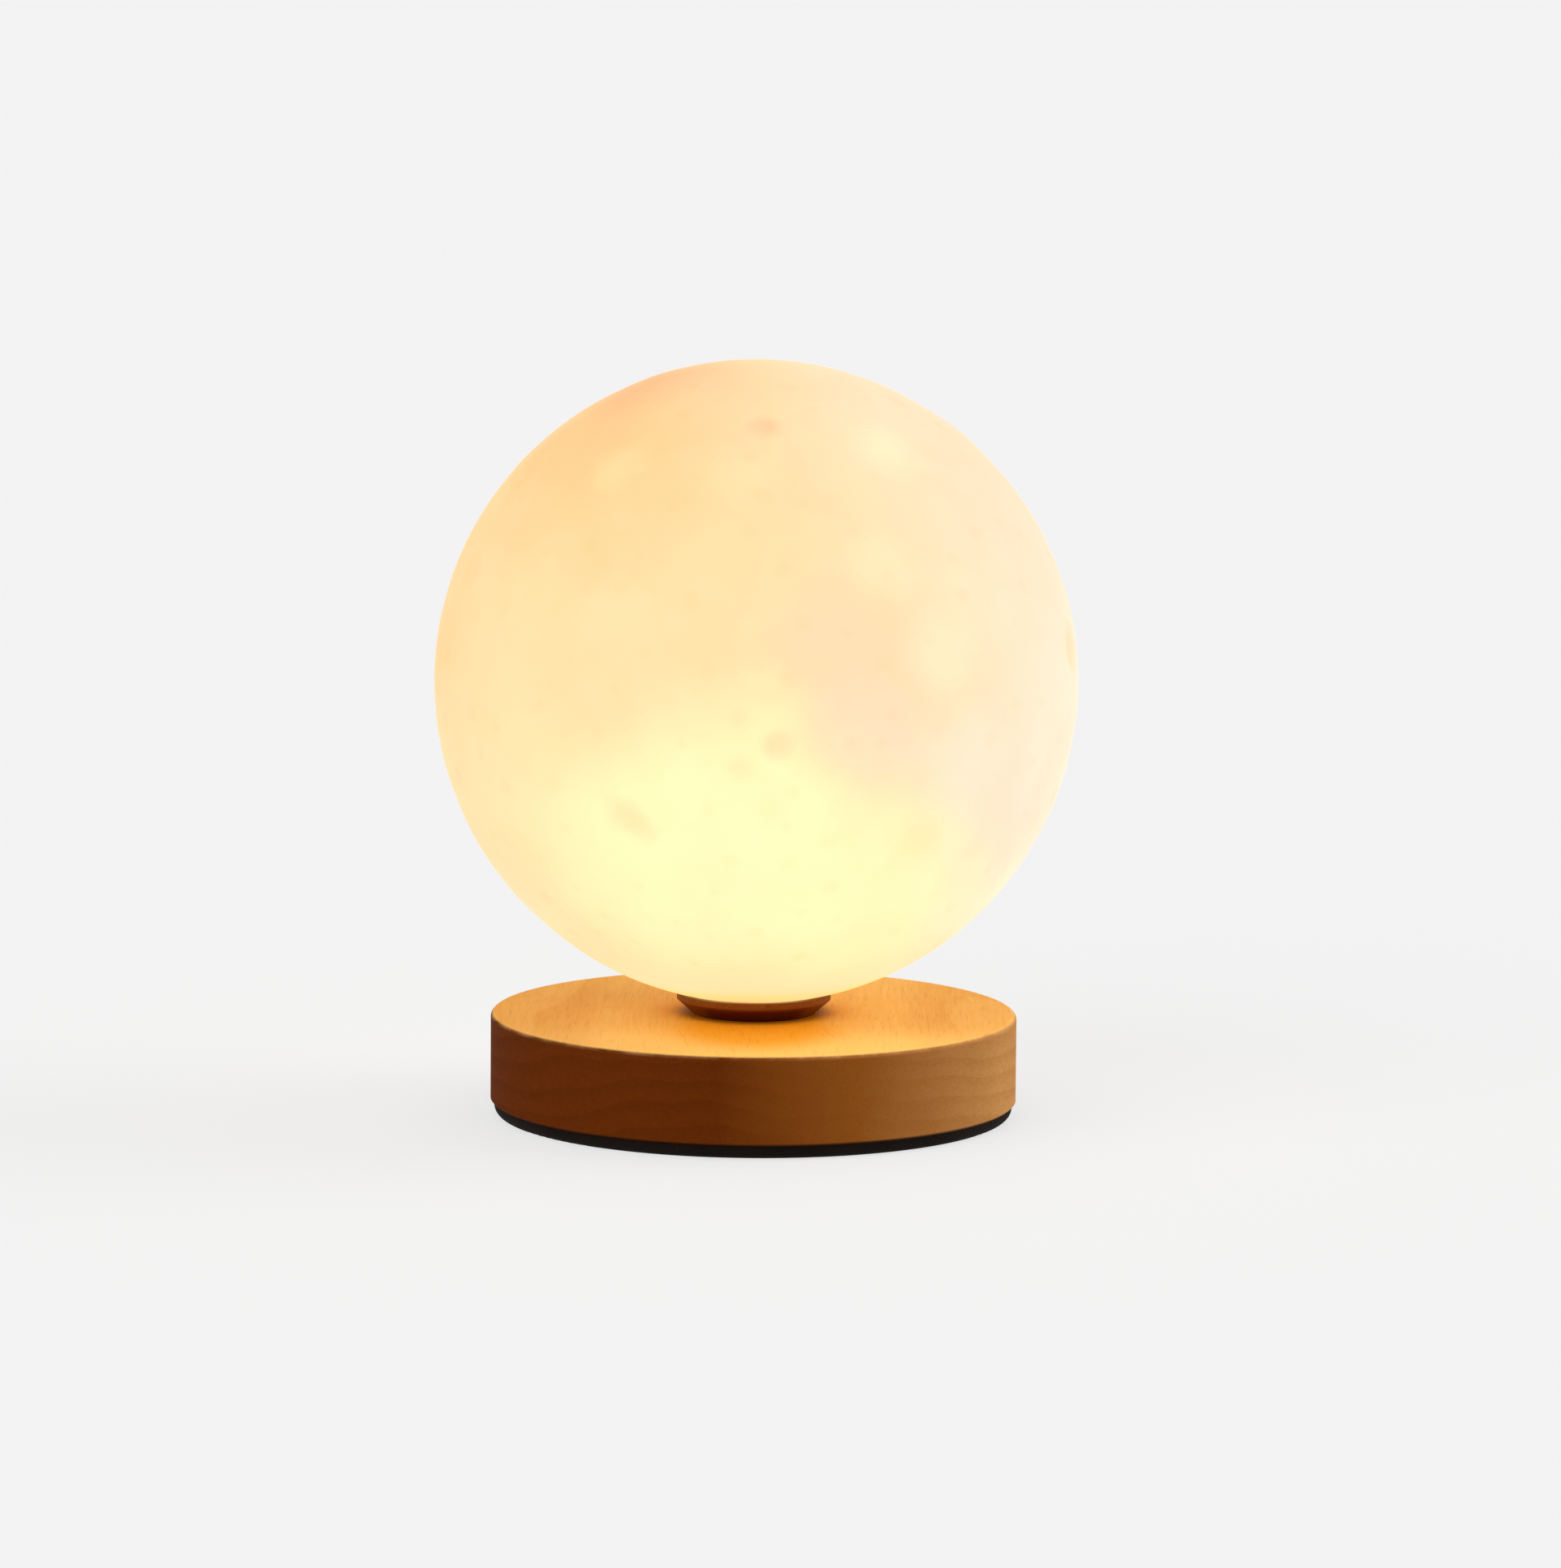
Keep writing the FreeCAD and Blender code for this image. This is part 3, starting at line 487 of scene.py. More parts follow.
@dataclass(frozen=True)
class BoardFinish(Finish):
    """Lacquered circuit board with copper tracks under the lacquer."""

    track: str = "2f8a4a"
    pitch: float = 1.3 * MM
    cells_per_pitch: float = 0.35
    lanes_per_cell: float = 2.6
    track_edge: Span = (0.30, 0.36)
    track_height: float = 0.03 * MM
    lacquer: float = 0.4
    lacquer_roughness: float = 0.2

    def paint(self, coat: Coat) -> None:
        """Lay straight tracks in a few directions under a glossy coat.

        Args:
            coat: the material's wiring.
        """
        cells = coat.cells(self.cells_per_pitch / self.pitch, randomness=0.55, distance="CHEBYCHEV")
        away = coat.times(cells, self.lanes_per_cell)
        lanes = coat.ramp(coat.sum("PINGPONG", away, 0.5), *self.track_edge)
        coat.set(Base_Color=coat.mix(lanes, self.colour, self.track),
                 Coat_Weight=self.lacquer, Coat_Roughness=self.lacquer_roughness)
        coat.bump(lanes, self.track_height, share=0.6)


@dataclass(frozen=True)
class FoilFinish(Finish):
    """Creased laminate foil of a pouch cell."""

    metallic: float = 0.85
    fold_scale: float = 230.0
    cloud_scale: float = 180.0
    crease: float = 0.35 * MM

    def paint(self, coat: Coat) -> None:
        """Crease the foil in flat facets and let its gloss wander.

        Args:
            coat: the material's wiring.
        """
        coat.set(Metallic=self.metallic)
        folds = coat.cells(self.fold_scale, feature="F2")
        self.gloss(coat, coat.mottle(self.cloud_scale, contrast=1.0), shares=(0.7, 1.3))
        coat.bump(folds, self.crease, share=0.5)


@dataclass(frozen=True)
class FoamFinish(Finish):
    """Closed-cell foam: a skin full of shallow pits."""

    cell: float = 0.45 * MM
    pit: float = 0.25 * MM
    dust_scale: float = 160.0
    dust_gain: float = 2.2
    dust_least: float = 0.001

    def paint(self, coat: Coat) -> None:
        """Pit the skin and let dust settle unevenly on it.

        Args:
            coat: the material's wiring.
        """
        pits = coat.cells(1 / self.cell)
        dusty = tuple(c * self.dust_gain + self.dust_least for c in srgb(self.colour))
        coat.set(Base_Color=coat.mix(coat.mottle(self.dust_scale, contrast=1.2), self.colour, dusty))
        coat.bump(pits, self.pit, share=0.8)


@dataclass(frozen=True)
class LitFinish(Finish):
    """Frosted part that light comes through."""

    glow: str = "ffdca0"
    strength: float = 1.0
    weakest: float = 0.86
    frosting: float = 0.02 * MM

    def paint(self, coat: Coat) -> None:
        """Let the glow wander a little, as frosting does.

        Args:
            coat: the material's wiring.
        """
        cloud = coat.mottle(scale=300.0, contrast=1.2)
        glow = coat.mix(cloud, dimmed(self.glow, self.weakest), self.glow)
        coat.set(Emission_Color=glow, Emission_Strength=self.strength)
        coat.bump(coat.skin(grain=3000.0, waves=400.0), self.frosting)


@dataclass(frozen=True)
class CollarFinish(Finish):
    """Brown satin collar, rubbed along its lip by the globe, with painted shade in deep red at its foot in
    front.
    """

    worn: str = "8a5010"
    # Painted shade at the foot, strongest in front: its colour, its height under the lip and its spread round
    # the front.
    foot_painted_shade: str = "561c02"
    lip_radius: float = 0.012
    lip_height: float = 0.019
    lip_worn: float = 0.9 * MM
    worn_scale: float = 900.0
    foot_shade_below_lip: Span = (0.5 * MM, 1.5 * MM)
    foot_shade_aside: Span = (58.0, 34.0)
    foot_shade_behind: float = 0.15
    cloud_shade: float = 0.85
    depth: float = 0.03 * MM

    def paint(self, coat: Coat) -> None:
        """Rub the lip, paint shade at the foot in front and mottle the rest.

        Args:
            coat: the material's wiring.
        """
        cloud = coat.mottle(scale=300.0, contrast=1.4)
        body = coat.mix(cloud, dimmed(self.colour, self.cloud_shade), self.colour)
        x, y, z = coat.split(coat.place)[:3]
        # Painted shade: the foot made deep red-brown, most in front and little behind.
        low = coat.ramp(z, *(self.lip_height - below for below in self.foot_shade_below_lip))
        aside = coat.sum("ABSOLUTE", coat.azimuth(x, y))
        ahead = coat.ramp(aside, *(math.radians(a) for a in self.foot_shade_aside), self.foot_shade_behind, 1.0)
        body = coat.mix(coat.times(low, ahead), body, self.foot_painted_shade)
        lip = coat.effect("rim_wear", {
            "Radius": self.lip_radius, "Height": self.lip_height, "Width": self.lip_worn,
            "Scale": self.worn_scale})["Mask"]
        coat.set(Base_Color=coat.mix(lip, body, self.worn))
        self.gloss(coat, cloud, shares=(0.9, 1.15))
        coat.bump(coat.skin(grain=2400.0, waves=300.0), self.depth)


@dataclass(frozen=True)
class TurnedWoodFinish(Finish):
    """Oiled wood: honey on top, with a painted glow round the collar; its side a dark stain with painted
    shade, paler with painted light towards +X.

    Degrees run round from the front towards +X. A pair of places starts where its tone doesn't show yet.
    """

    radius: float = 0.041
    top: float = 0.016
    bottom: float = 0.002
    edge_round: float = 0.0008
    ring_pitch: float = 3.4 * MM
    pith: tuple[float, float, float] = (-0.004, 0.0, -0.19)
    fibre_scale: float = 1500.0
    fibre_tones: Span = (0.3, 0.7)
    late_shares: Span = (0.4, 0.4)
    edge_blend: Span = (0.45, 0.05)
    late_honey: str = "d69a44"
    # Painted light on the front of the top.
    front_painted_light: str = "eeba64"
    front_light_zone: Span = (-11 * MM, -27 * MM)
    front_light_share: float = 0.9
    # Painted shade at the top's outer left and right.
    aside: str = "d28c30"
    aside_shade_zone: Span = (22 * MM, 28 * MM)
    aside_shade_shares: Span = (0.3, 0.16)
    # Painted glow of the lamp on the top: an amber pool in front of the collar and a ring round it.
    painted_glow: str = "e2971d"
    painted_glow_share: float = 0.92
    glow_pool_middle: float = -17 * MM
    glow_pool_narrowing: float = 1.35
    glow_pool_zone: Span = (23 * MM, 9 * MM)
    glow_ring_zone: Span = (19 * MM, 10 * MM)
    shaded: str = "b06410"
    shaded_zone: Span = (13.5 * MM, 9.5 * MM)
    shaded_share: float = 0.75
    # The side's stain, with painted shade, and its paler tones, with painted light; the angles below say
    # where each shows.
    stain_and_painted_shade: tuple[str, str] = ("5f2803", "532202")
    half_lit_stain: str = "824814"
    sapwood_and_painted_light: tuple[str, str] = ("b8834c", "a8713b")
    painted_light_begins: float = -8.0
    painted_light_halfway: float = 24.0
    painted_light_full: float = 70.0
    painted_light_fades: Span = (178.0, 130.0)
    painted_light_drift: float = 14.0
    drift_scale: float = 60.0
    # Painted shade along the side's lowest band.
    low_painted_shade: str = "140a06"
    low_shade_zone: Span = (0.5 * MM, 0.1 * MM)
    low_shade_share: float = 0.9
    pore: Colour = (0.05, 0.016, 0.003)
    pore_share: float = 0.09
    rubbed: str = "ffc888"
    rubbed_width: float = 0.8 * MM
    rubbed_share: float = 0.4
    rubbed_scale: float = 130.0
    side_roughness: float = 0.3
    late_roughness: float = 0.12
    depth: float = 0.05 * MM

    def side_tone(self, coat: Coat, late: Input) -> Socket:
        """Colour the side: dark stain with painted shade on the left and in front, then a paler stain and the
        sapwood's tone with painted light round towards +X, dark again at the back.

        Args:
            coat: the material's wiring.
            late: how much of the late wood shows.

        Returns:
            The side's colour.
        """
        x, y = coat.split(coat.place)[:2]
        wander = coat.noise(coat.place, self.drift_scale, detail=3.0)[0]
        turn = coat.times(coat.azimuth(x, y), 180 / math.pi)
        shifted = coat.plus(turn, coat.times(coat.minus(wander, 0.5), self.painted_light_drift))
        # Painted light and shade by the angle round the side: dark on the left and in front, paler towards
        # +X, dark again at the back.
        fall = coat.ramp(shifted, *self.painted_light_fades)
        thin = coat.times(coat.ramp(shifted, self.painted_light_begins, self.painted_light_halfway, smooth=False), fall)
        lit_sapwood = coat.times(coat.ramp(shifted, self.painted_light_halfway, self.painted_light_full, smooth=False), fall)
        side = coat.mix(thin, coat.mix(late, *self.stain_and_painted_shade), self.half_lit_stain)
        return coat.mix(lit_sapwood, side, coat.mix(late, *self.sapwood_and_painted_light))

    def top_tone(self, coat: Coat, late: Input) -> Socket:
        """Colour the top: honey, with painted light in front, painted shade at the outer left and right, a
        painted glow round the collar and painted shade close round its foot.

        Args:
            coat: the material's wiring.
            late: how much of the late wood shows.

        Returns:
            The top's colour.
        """
        x, y = coat.split(coat.place)[:2]
        honey = coat.mix(late, self.colour, self.late_honey)
        # Painted light: the front of the top made paler.
        bright = coat.times(coat.ramp(y, *self.front_light_zone), self.front_light_share)
        honey = coat.mix(bright, honey, self.front_painted_light)
        # Painted shade: the top's outer left and right made darker, the left more.
        near, far = self.aside_shade_zone
        left, right = self.aside_shade_shares
        outer = coat.plus(coat.ramp(x, -near, -far, 0.0, left), coat.ramp(x, near, far, 0.0, right))
        honey = coat.mix(outer, honey, self.aside)
        # Painted glow of the lamp: an amber pool in front of the collar and a ring round it.
        narrowed = coat.vector("MULTIPLY", coat.place, (self.glow_pool_narrowing, 1.0, 1.0))
        from_pool = coat.vector("DISTANCE", narrowed, (0.0, self.glow_pool_middle, self.top))
        outward = coat.vector("DISTANCE", coat.place, (0.0, 0.0, self.top))
        pooled, ringed = coat.ramp(from_pool, *self.glow_pool_zone), coat.ramp(outward, *self.glow_ring_zone)
        lit = coat.times(coat.sum("MAXIMUM", pooled, ringed), self.painted_glow_share)
        dark = coat.times(coat.ramp(outward, *self.shaded_zone), self.shaded_share)
        return coat.mix(dark, coat.mix(lit, honey, self.painted_glow), self.shaded)

    def paint(self, coat: Coat) -> None:
        """Colour top and side from one solid grain, and rub the upper edge.

        Args:
            coat: the material's wiring.
        """
        grain = coat.effect("wood_grain", {
            "Ring Pitch": self.ring_pitch, "Pith": self.pith, "Fibre Scale": self.fibre_scale})
        fibres = coat.ramp(grain["Fibres"], *self.fibre_tones)
        marks = (coat.times(mark, share) for mark, share in zip((grain["Rings"], fibres), self.late_shares))
        late = coat.sum("ADD", *marks, clamp=True)
        z = coat.split(coat.place)[2]
        on_top = coat.ramp(z, *(self.top - share * self.edge_round for share in self.edge_blend))
        body = coat.mix(on_top, self.side_tone(coat, late), self.top_tone(coat, late))
        # Painted shade: the side's lowest band made almost black.
        low = coat.ramp(z, *(self.bottom + above for above in self.low_shade_zone))
        body = coat.mix(coat.times(low, self.low_shade_share), body, self.low_painted_shade)
        body = coat.mix(coat.times(grain["Pores"], self.pore_share), body, self.pore)
        rub = coat.effect("rim_wear", {
            "Radius": self.radius, "Height": self.top, "Width": self.rubbed_width,
            "Scale": self.rubbed_scale})["Mask"]
        coat.set(Base_Color=coat.mix(coat.times(rub, self.rubbed_share), body, self.rubbed))
        dry = coat.plus(self.roughness, coat.times(coat.minus(1.0, on_top), self.side_roughness))
        coat.set(Roughness=coat.plus(dry, coat.times(late, self.late_roughness)))
        coat.bump(coat.minus(coat.times(grain["Fibres"], 0.5), grain["Pores"]), self.depth, share=0.5)


@dataclass(frozen=True)
class GlowPatch:
    """One soft area of the globe with a tone of its own: its place, its core and its edge in degrees."""

    azimuth: float
    elevation: float
    core: float
    edge: float
    tone: str
    share: float


@dataclass(frozen=True)
class MoonFinish(Finish):
    """Frosted globe, lit warm from inside, whose glow changes over it as its wall and craters do."""

    middle: tuple[float, float, float] = (0.0, 0.0, 0.068)
    patches: tuple[GlowPatch, ...] = ()
    spots: tuple[GlowPatch, ...] = ()
    patch_stray: Span = (2.2, 0.34)
    spot_stray: Span = (9.0, 0.05)
    cloud_tone: str = "f0a850"
    cloud_share: float = 0.07
    fine_tone: str = "e8a860"
    fine_share: float = 0.03
    dent_tint: Colour = (0.93, 0.86, 0.72)
    dent_share: float = 0.34
    unlit: tuple[str, str] = ("a08c70", "968060")
    strength: float = 0.95
    depth: float = 0.05 * MM

    def paint(self, coat: Coat) -> None:
        """Layer the glow patches, the crater spots and the fine mottling.

        Args:
            coat: the material's wiring.
        """
        towards = coat.vector("NORMALIZE", coat.vector("SUBTRACT", coat.place, self.middle))
        tone = self.layer(coat, self.strayed(coat, towards, *self.patch_stray), self.colour, self.patches)
        tone = self.layer(coat, self.strayed(coat, towards, *self.spot_stray), tone, self.spots)
        cloud = coat.mottle(scale=4.5, contrast=1.1, Vector=towards)
        tone = coat.mix(coat.times(cloud, self.cloud_share), tone, self.cloud_tone)
        fine = coat.mottle(scale=22.0, contrast=1.2, Vector=towards)
        tone = coat.mix(coat.times(fine, self.fine_share), tone, self.fine_tone)
        dent = coat.node("ShaderNodeAttribute", attribute_name="dent", attribute_type="GEOMETRY")
        tone = coat.mix(coat.times(dent.outputs["Fac"], self.dent_share), tone, self.dent_tint, "MULTIPLY")
        coat.set(Base_Color=coat.mix(cloud, *self.unlit),
                 Emission_Color=tone, Emission_Strength=self.strength)
        coat.bump(coat.skin(grain=1500.0, waves=220.0), self.depth, share=0.6)

    def strayed(self, coat: Coat, towards: Input, scale: float, reach: float) -> Socket:
        """Bend unit directions by a reach, with noise of a scale, so that no patch has a drawn edge."""
        stray = coat.vector("SUBTRACT", coat.noise(towards, scale, detail=3.0)[1], SharedEffects.grey)
        return coat.vector("NORMALIZE", coat.vector("ADD", towards, coat.scaled(stray, reach)))

    def layer(self, coat: Coat, towards: Input, tone: Input, patches: tuple[GlowPatch, ...]) -> Input:
        """Lay patches over a tone.

        Args:
            coat: the material's wiring.
            towards: unit directions from the globe's middle.
            tone: the colour below them.
            patches: what is laid over it, in order.

        Returns:
            The colour with all patches on it.
        """
        for patch in patches:
            mask = coat.effect("round_patch", {
                "Vector": towards, "Towards": tuple(heading(patch.azimuth, patch.elevation)),
                "Core": math.radians(patch.core), "Edge": math.radians(patch.edge)})["Mask"]
            tone = coat.mix(coat.times(mask, patch.share), tone, patch.tone)
        return tone


# ---- The globe ----


@dataclass(frozen=True)
class Crater:
    """A round dent in the globe: place in degrees, width and depth in millimetres."""

    azimuth: float
    elevation: float
    width: float
    depth: float


NAMED_CRATERS = tuple(Crater(*row) for row in (
    (-23, -18, 7.6, 0.45), (4, -3.5, 4.6, 0.35), (-3, 0.5, 3.6, 0.30), (-3, -8, 4.2, 0.30),
    (32, -22, 8.6, 0.45), (2, 58, 3.6, 0.30), (39, 49, 9, 0.45), (-37, 45, 8, 0.40),
    (78, 8, 9.4, 0.50), (104, 36, 6.4, 0.40), (128, -12, 8.2, 0.45), (160, 24, 10, 0.55),
    (186, -20, 6, 0.40), (212, 40, 7.6, 0.45), (238, 4, 9.2, 0.50), (268, -24, 6.8, 0.40),
    (290, 22, 7.8, 0.45),
))

GLOW_PATCHES = tuple(GlowPatch(*row) for row in (
    (-50, 62, 4, 46, "f09042", 0.9), (-56, 71, 3, 24, "9a6424", 0.9),
    (-34, 57, 3, 18, "e68c3c", 0.4), (-74, 51, 2, 17, "ee9440", 0.4),
    (42, 72, 2, 22, "c8986c", 0.5), (-34, 38, 4, 27, "f2ae68", 0.45),
    (0, 60, 10, 50, "f0b278", 0.65), (-90, 18, 5, 46, "f0a862", 0.75),
    (75, 40, 10, 66, "f4b6a4", 0.85), (72, -16, 12, 60, "f6d0c2", 0.85),
    (38, -10, 2, 19, "f8dcd2", 0.4), (16, 13, 3, 24, "f0b8a2", 0.5),
    (20, -4, 2, 16, "f4c8bc", 0.55), (0, -90, 10, 66, "fbeabe", 0.9),
    (-6, -28, 16, 40, "fbebb2", 0.9), (26, -38, 8, 30, "fbecb2", 0.8),
    (-36, -22, 3, 32, "fbe9ac", 0.5), (60, -46, 4, 24, "fbe9ba", 0.35),
    (2, -2, 1, 13, "fbe8b0", 0.4), (150, 34, 6, 46, "f2a866", 0.7),
    (232, 30, 6, 36, "f2b48e", 0.5), (190, -30, 12, 42, "fbe9ae", 0.8),
    (250, -34, 4, 32, "fbe7aa", 0.6), (120, -40, 4, 30, "fbe7b0", 0.5),
    (0, -90, 16, 29, "fbd862", 0.62), (0, -90, 9, 15, "f0a252", 0.9),
))

FRONT_SPOTS = tuple(GlowPatch(*row) for row in (
    (-24.6, -17.3, 1, 5.5, "e6d098", 0.6), (-21.4, -19.7, 1, 4.5, "e6d098", 0.6),
    (4.1, -3.7, 1, 4, "e2c498", 0.65), (-3.2, 0.5, 0.5, 4, "e8cc98", 0.4),
    (-2.7, -7.4, 0.5, 4, "e6cc98", 0.4), (2.8, -15.2, 1, 6, "ecd89c", 0.3),
    (32, -22.1, 2, 8, "ead8a0", 0.45), (1.6, 58.4, 1, 4.4, "d8946c", 0.7),
    (-37.7, 45.7, 1, 7, "f6cc90", 0.4), (39.2, 50.9, 1, 10, "fad6b4", 0.45),
    (25.6, 27, 1, 10, "f8d6ac", 0.4), (-3.7, 45.2, 1, 9, "f6c890", 0.3),
    (35.6, 11.3, 2, 11, "f9dcbc", 0.4),
))

REAR_FROM = 60.0
DEGREES_PER_WIDTH = 0.66
REAR_SPOTS = tuple(GlowPatch(c.azimuth, c.elevation, 1.0, c.width * DEGREES_PER_WIDTH, "dfb47c", 0.5)
                   for c in NAMED_CRATERS if c.azimuth > REAR_FROM)


def grow(piece: Thing, tree: Tree, inputs: dict[str, Input]) -> None:
    """Run a geometry node tree on a piece and keep its result as the piece's own mesh.

    Args:
        piece: the object it runs on.
        tree: the geometry node tree.
        inputs: its values by the sockets' names.
    """
    modifier = piece.modifiers.new(tree.name, "NODES")
    modifier.node_group = tree
    for item in tree.interface.items_tree:
        if item.item_type == "SOCKET" and item.in_out == "INPUT" and item.name in inputs:
            modifier[item.identifier] = inputs[item.name]
    depsgraph = bpy.context.evaluated_depsgraph_get()
    mesh = bpy.data.meshes.new_from_object(piece.evaluated_get(depsgraph), depsgraph=depsgraph)
    piece.modifiers.remove(modifier)
    piece.data = mesh


def close_tree(w: Wiring, geometry: Socket, finish: Socket, out: Sockets) -> None:
    """End a geometry node tree: make its instances real, give them their finish and put them out."""
    real = w.node("GeometryNodeRealizeInstances", {"Geometry": geometry}).outputs[0]
    w.feed(out[0], w.node("GeometryNodeSetMaterial", {"Geometry": real, "Material": finish}).outputs[0])


@dataclass
class MoonGlobe:
    """The hollow globe, with its craters pressed into the outside.

    Small craters have their width and depth in millimetres. A crater's bowl, rim and mark lie where the
    distance from its middle, in half widths, goes from one value of a pair to the other.
    """

    radius: float
    middle: Vector
    foot: float
    quiet_height: float
    wall: float = 2.2 * MM
    meridians: int = 384
    outer_rows: int = 220
    inner_rows: int = 26
    small_craters: int = 260
    small_width: Span = (2.4, 4.6)
    small_depth: Span = (0.05, 0.14)
    small_bias: float = 1.6
    small_band: Span = (-0.8, 0.98)
    tries_each: int = 6
    spacing: float = 1.55
    seed: int = 11
    bowl: Span = (1.0, 0.2)
    rim_inside: Span = (0.75, 1.02)
    rim_outside: Span = (1.5, 1.02)
    mark: Span = (1.1, 0.15)
    swell: float = 0.5 * MM
    swell_scale: float = 70.0
    swell_crest: float = 0.62
    skin_from: float = 0.985
    quiet_fade: float = 6 * MM

    def profile(self) -> list[tuple[float, float]]:
        """Give the globe's half section, from the outer pole round the mouth to the inner pole.

        Returns:
            Pairs of distance from the axis and height.
        """
        inside = self.radius - self.wall
        mouth = math.sqrt(self.radius ** 2 - (self.middle.z - self.foot) ** 2)
        rows: list[tuple[float, float]] = []
        for radius, start, end, count in (
                (self.radius, math.pi, math.asin(mouth / self.radius), self.outer_rows),
                (inside, math.asin(mouth / inside), math.pi, self.inner_rows)):
            for i in range(count + 1):
                turn = start + (end - start) * i / count
                rows.append((radius * math.sin(turn), self.middle.z - radius * math.cos(turn)))
        return rows

    def turned(self) -> Thing:
        """Turn the half section about the lamp's axis.

        Returns:
            The plain globe, its poles closed and its faces outwards.
        """
        rows = self.profile()
        made = bmesh.new()
        top = made.verts.new((0.0, 0.0, rows[0][1]))
        under = made.verts.new((0.0, 0.0, rows[-1][1]))
        steps = [2 * math.pi * k / self.meridians for k in range(self.meridians)]
        loops = [[made.verts.new((r * math.cos(t), r * math.sin(t), z)) for t in steps]
                 for r, z in rows[1:-1]]
        for k in range(self.meridians):
            n = (k + 1) % self.meridians
            made.faces.new((top, loops[0][k], loops[0][n]))
            made.faces.new((under, loops[-1][n], loops[-1][k]))
            for upper, lower in zip(loops, loops[1:]):
                made.faces.new((upper[k], lower[k], lower[n], upper[n]))
        for face in made.faces:
            face.smooth = True
        return add_thing("moon_globe", made)

    def crater_points(self, name: str, craters: tuple[Crater, ...]) -> Thing:
        """Hold craters as points on the globe, for the relief to read.

        Args:
            name: the object's name.
            craters: what it holds.

        Returns:
            The object, with width and depth on its points.
        """
        mesh = bpy.data.meshes.new(name)
        places = [self.middle + heading(c.azimuth, c.elevation) * self.radius for c in craters]
        mesh.from_pydata(places, [], [])
        for label in ("width", "depth"):
            values = [getattr(crater, label) * MM for crater in craters]
            mesh.attributes.new(label, "FLOAT", "POINT").data.foreach_set("value", values)
        return add_thing(name, mesh)

    def scattered(self) -> tuple[Crater, ...]:
        """Strew small craters, none of them near another one.

        Returns:
            The small craters.
        """
        chance = random.Random(self.seed)
        taken = [(heading(c.azimuth, c.elevation), c.width * MM) for c in NAMED_CRATERS]
        found: list[Crater] = []
        for _ in range(self.small_craters * self.tries_each):
            azimuth = chance.uniform(0.0, 360.0)
            elevation = math.degrees(math.asin(chance.uniform(*self.small_band)))
            size = chance.random() ** self.small_bias
            width, depth = (low + size * (high - low) for low, high in (self.small_width, self.small_depth))
            way = heading(azimuth, elevation)
            if all((way - other).length * self.radius > self.spacing * max(width * MM, reach)
                   for other, reach in taken):
                taken.append((way, width * MM))
                found.append(Crater(azimuth, elevation, width, depth))
            if len(found) == self.small_craters:
                break
        return tuple(found)

    def relief_tree(self) -> Tree:
        """Build the tree that presses craters into the globe's outside.

        Returns:
            The geometry node tree.
        """
        w, given, out = open_tree("crater_relief", "Geometry", {"Geometry": "Geometry"}, {
            "Geometry": "Geometry", "Object": "Craters", "Vector": "Middle", "Material": "Finish",
            "Float": "Radius, Quiet Height, Rim Share, Swell, Mark"})
        here = w.node("GeometryNodeInputPosition").outputs[0]
        points = w.node("GeometryNodeObjectInfo", {"Object": given["Craters"]}).outputs["Geometry"]
        nearest = w.node("GeometryNodeSampleNearest", {"Geometry": points, "Sample Position": here},
                         domain="POINT").outputs[0]

        def of_nearest(value: Input, kind: str = "FLOAT") -> Socket:
            """Read a value of the nearest crater."""
            return w.node("GeometryNodeSampleIndex", {"Geometry": points, "Index": nearest, "Value": value},
                          data_type=kind).outputs["Value"]

        def attribute(label: str) -> Socket:
            """Read a named number of a point."""
            return w.node("GeometryNodeInputNamedAttribute", {"Name": label},
                          data_type="FLOAT").outputs["Attribute"]

        centre = of_nearest(here, "FLOAT_VECTOR")
        half_width = w.times(of_nearest(attribute("width")), 0.5)
        reach = w.sum("DIVIDE", w.vector("DISTANCE", here, centre), half_width)
        rim = w.times(w.ramp(reach, *self.rim_inside), w.ramp(reach, *self.rim_outside))
        dent = w.minus(w.times(rim, given["Rim Share"]), w.ramp(reach, *self.bowl))
        away = w.vector("SUBTRACT", here, given["Middle"])
        waves = w.minus(w.noise(away, self.swell_scale, detail=3.0)[0], self.swell_crest)
        lift = w.plus(w.times(dent, of_nearest(attribute("depth"))), w.times(waves, given["Swell"]))
        outside = w.sum("GREATER_THAN", w.vector("LENGTH", away), w.times(given["Radius"], self.skin_from))
        quiet = given["Quiet Height"]
        pressed = w.times(outside, w.ramp(w.split(here)[2], quiet, w.plus(quiet, self.quiet_fade)))
        mark = w.times(w.times(w.ramp(reach, *self.mark), pressed), given["Mark"])
        marked = w.node("GeometryNodeStoreNamedAttribute", {
            "Geometry": given["Geometry"], "Name": "dent", "Value": w.plus(attribute("dent"), mark)},
            data_type="FLOAT", domain="POINT").outputs[0]
        shift = w.scaled(w.vector("NORMALIZE", away), w.times(lift, pressed))
        moved = w.node("GeometryNodeSetPosition", {"Geometry": marked, "Offset": shift}).outputs[0]
        close_tree(w, moved, given["Finish"], out)
        return w.tree

    def build(self, finish: Material) -> Thing:
        """Make the globe and hand it to the body it rides on.

        Args:
            finish: its material.

        Returns:
            The finished piece.
        """
        globe = self.turned()
        tree = self.relief_tree()
        common = {"Middle": tuple(self.middle), "Radius": self.radius, "Quiet Height": self.quiet_height,
                  "Finish": finish}
        for name, craters, relief in (
                ("named_craters", NAMED_CRATERS, {"Rim Share": 0.22, "Mark": 0.5, "Swell": self.swell}),
                ("small_craters", self.scattered(), {"Rim Share": 0.25, "Mark": 1.0, "Swell": 0.0})):
            points = self.crater_points(name, craters)
            grow(globe, tree, {"Craters": points, **relief, **common})
            bpy.data.objects.remove(points)
        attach(globe, "globe")
        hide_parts("globe")
        return globe


# ---- The contacts in the port ----


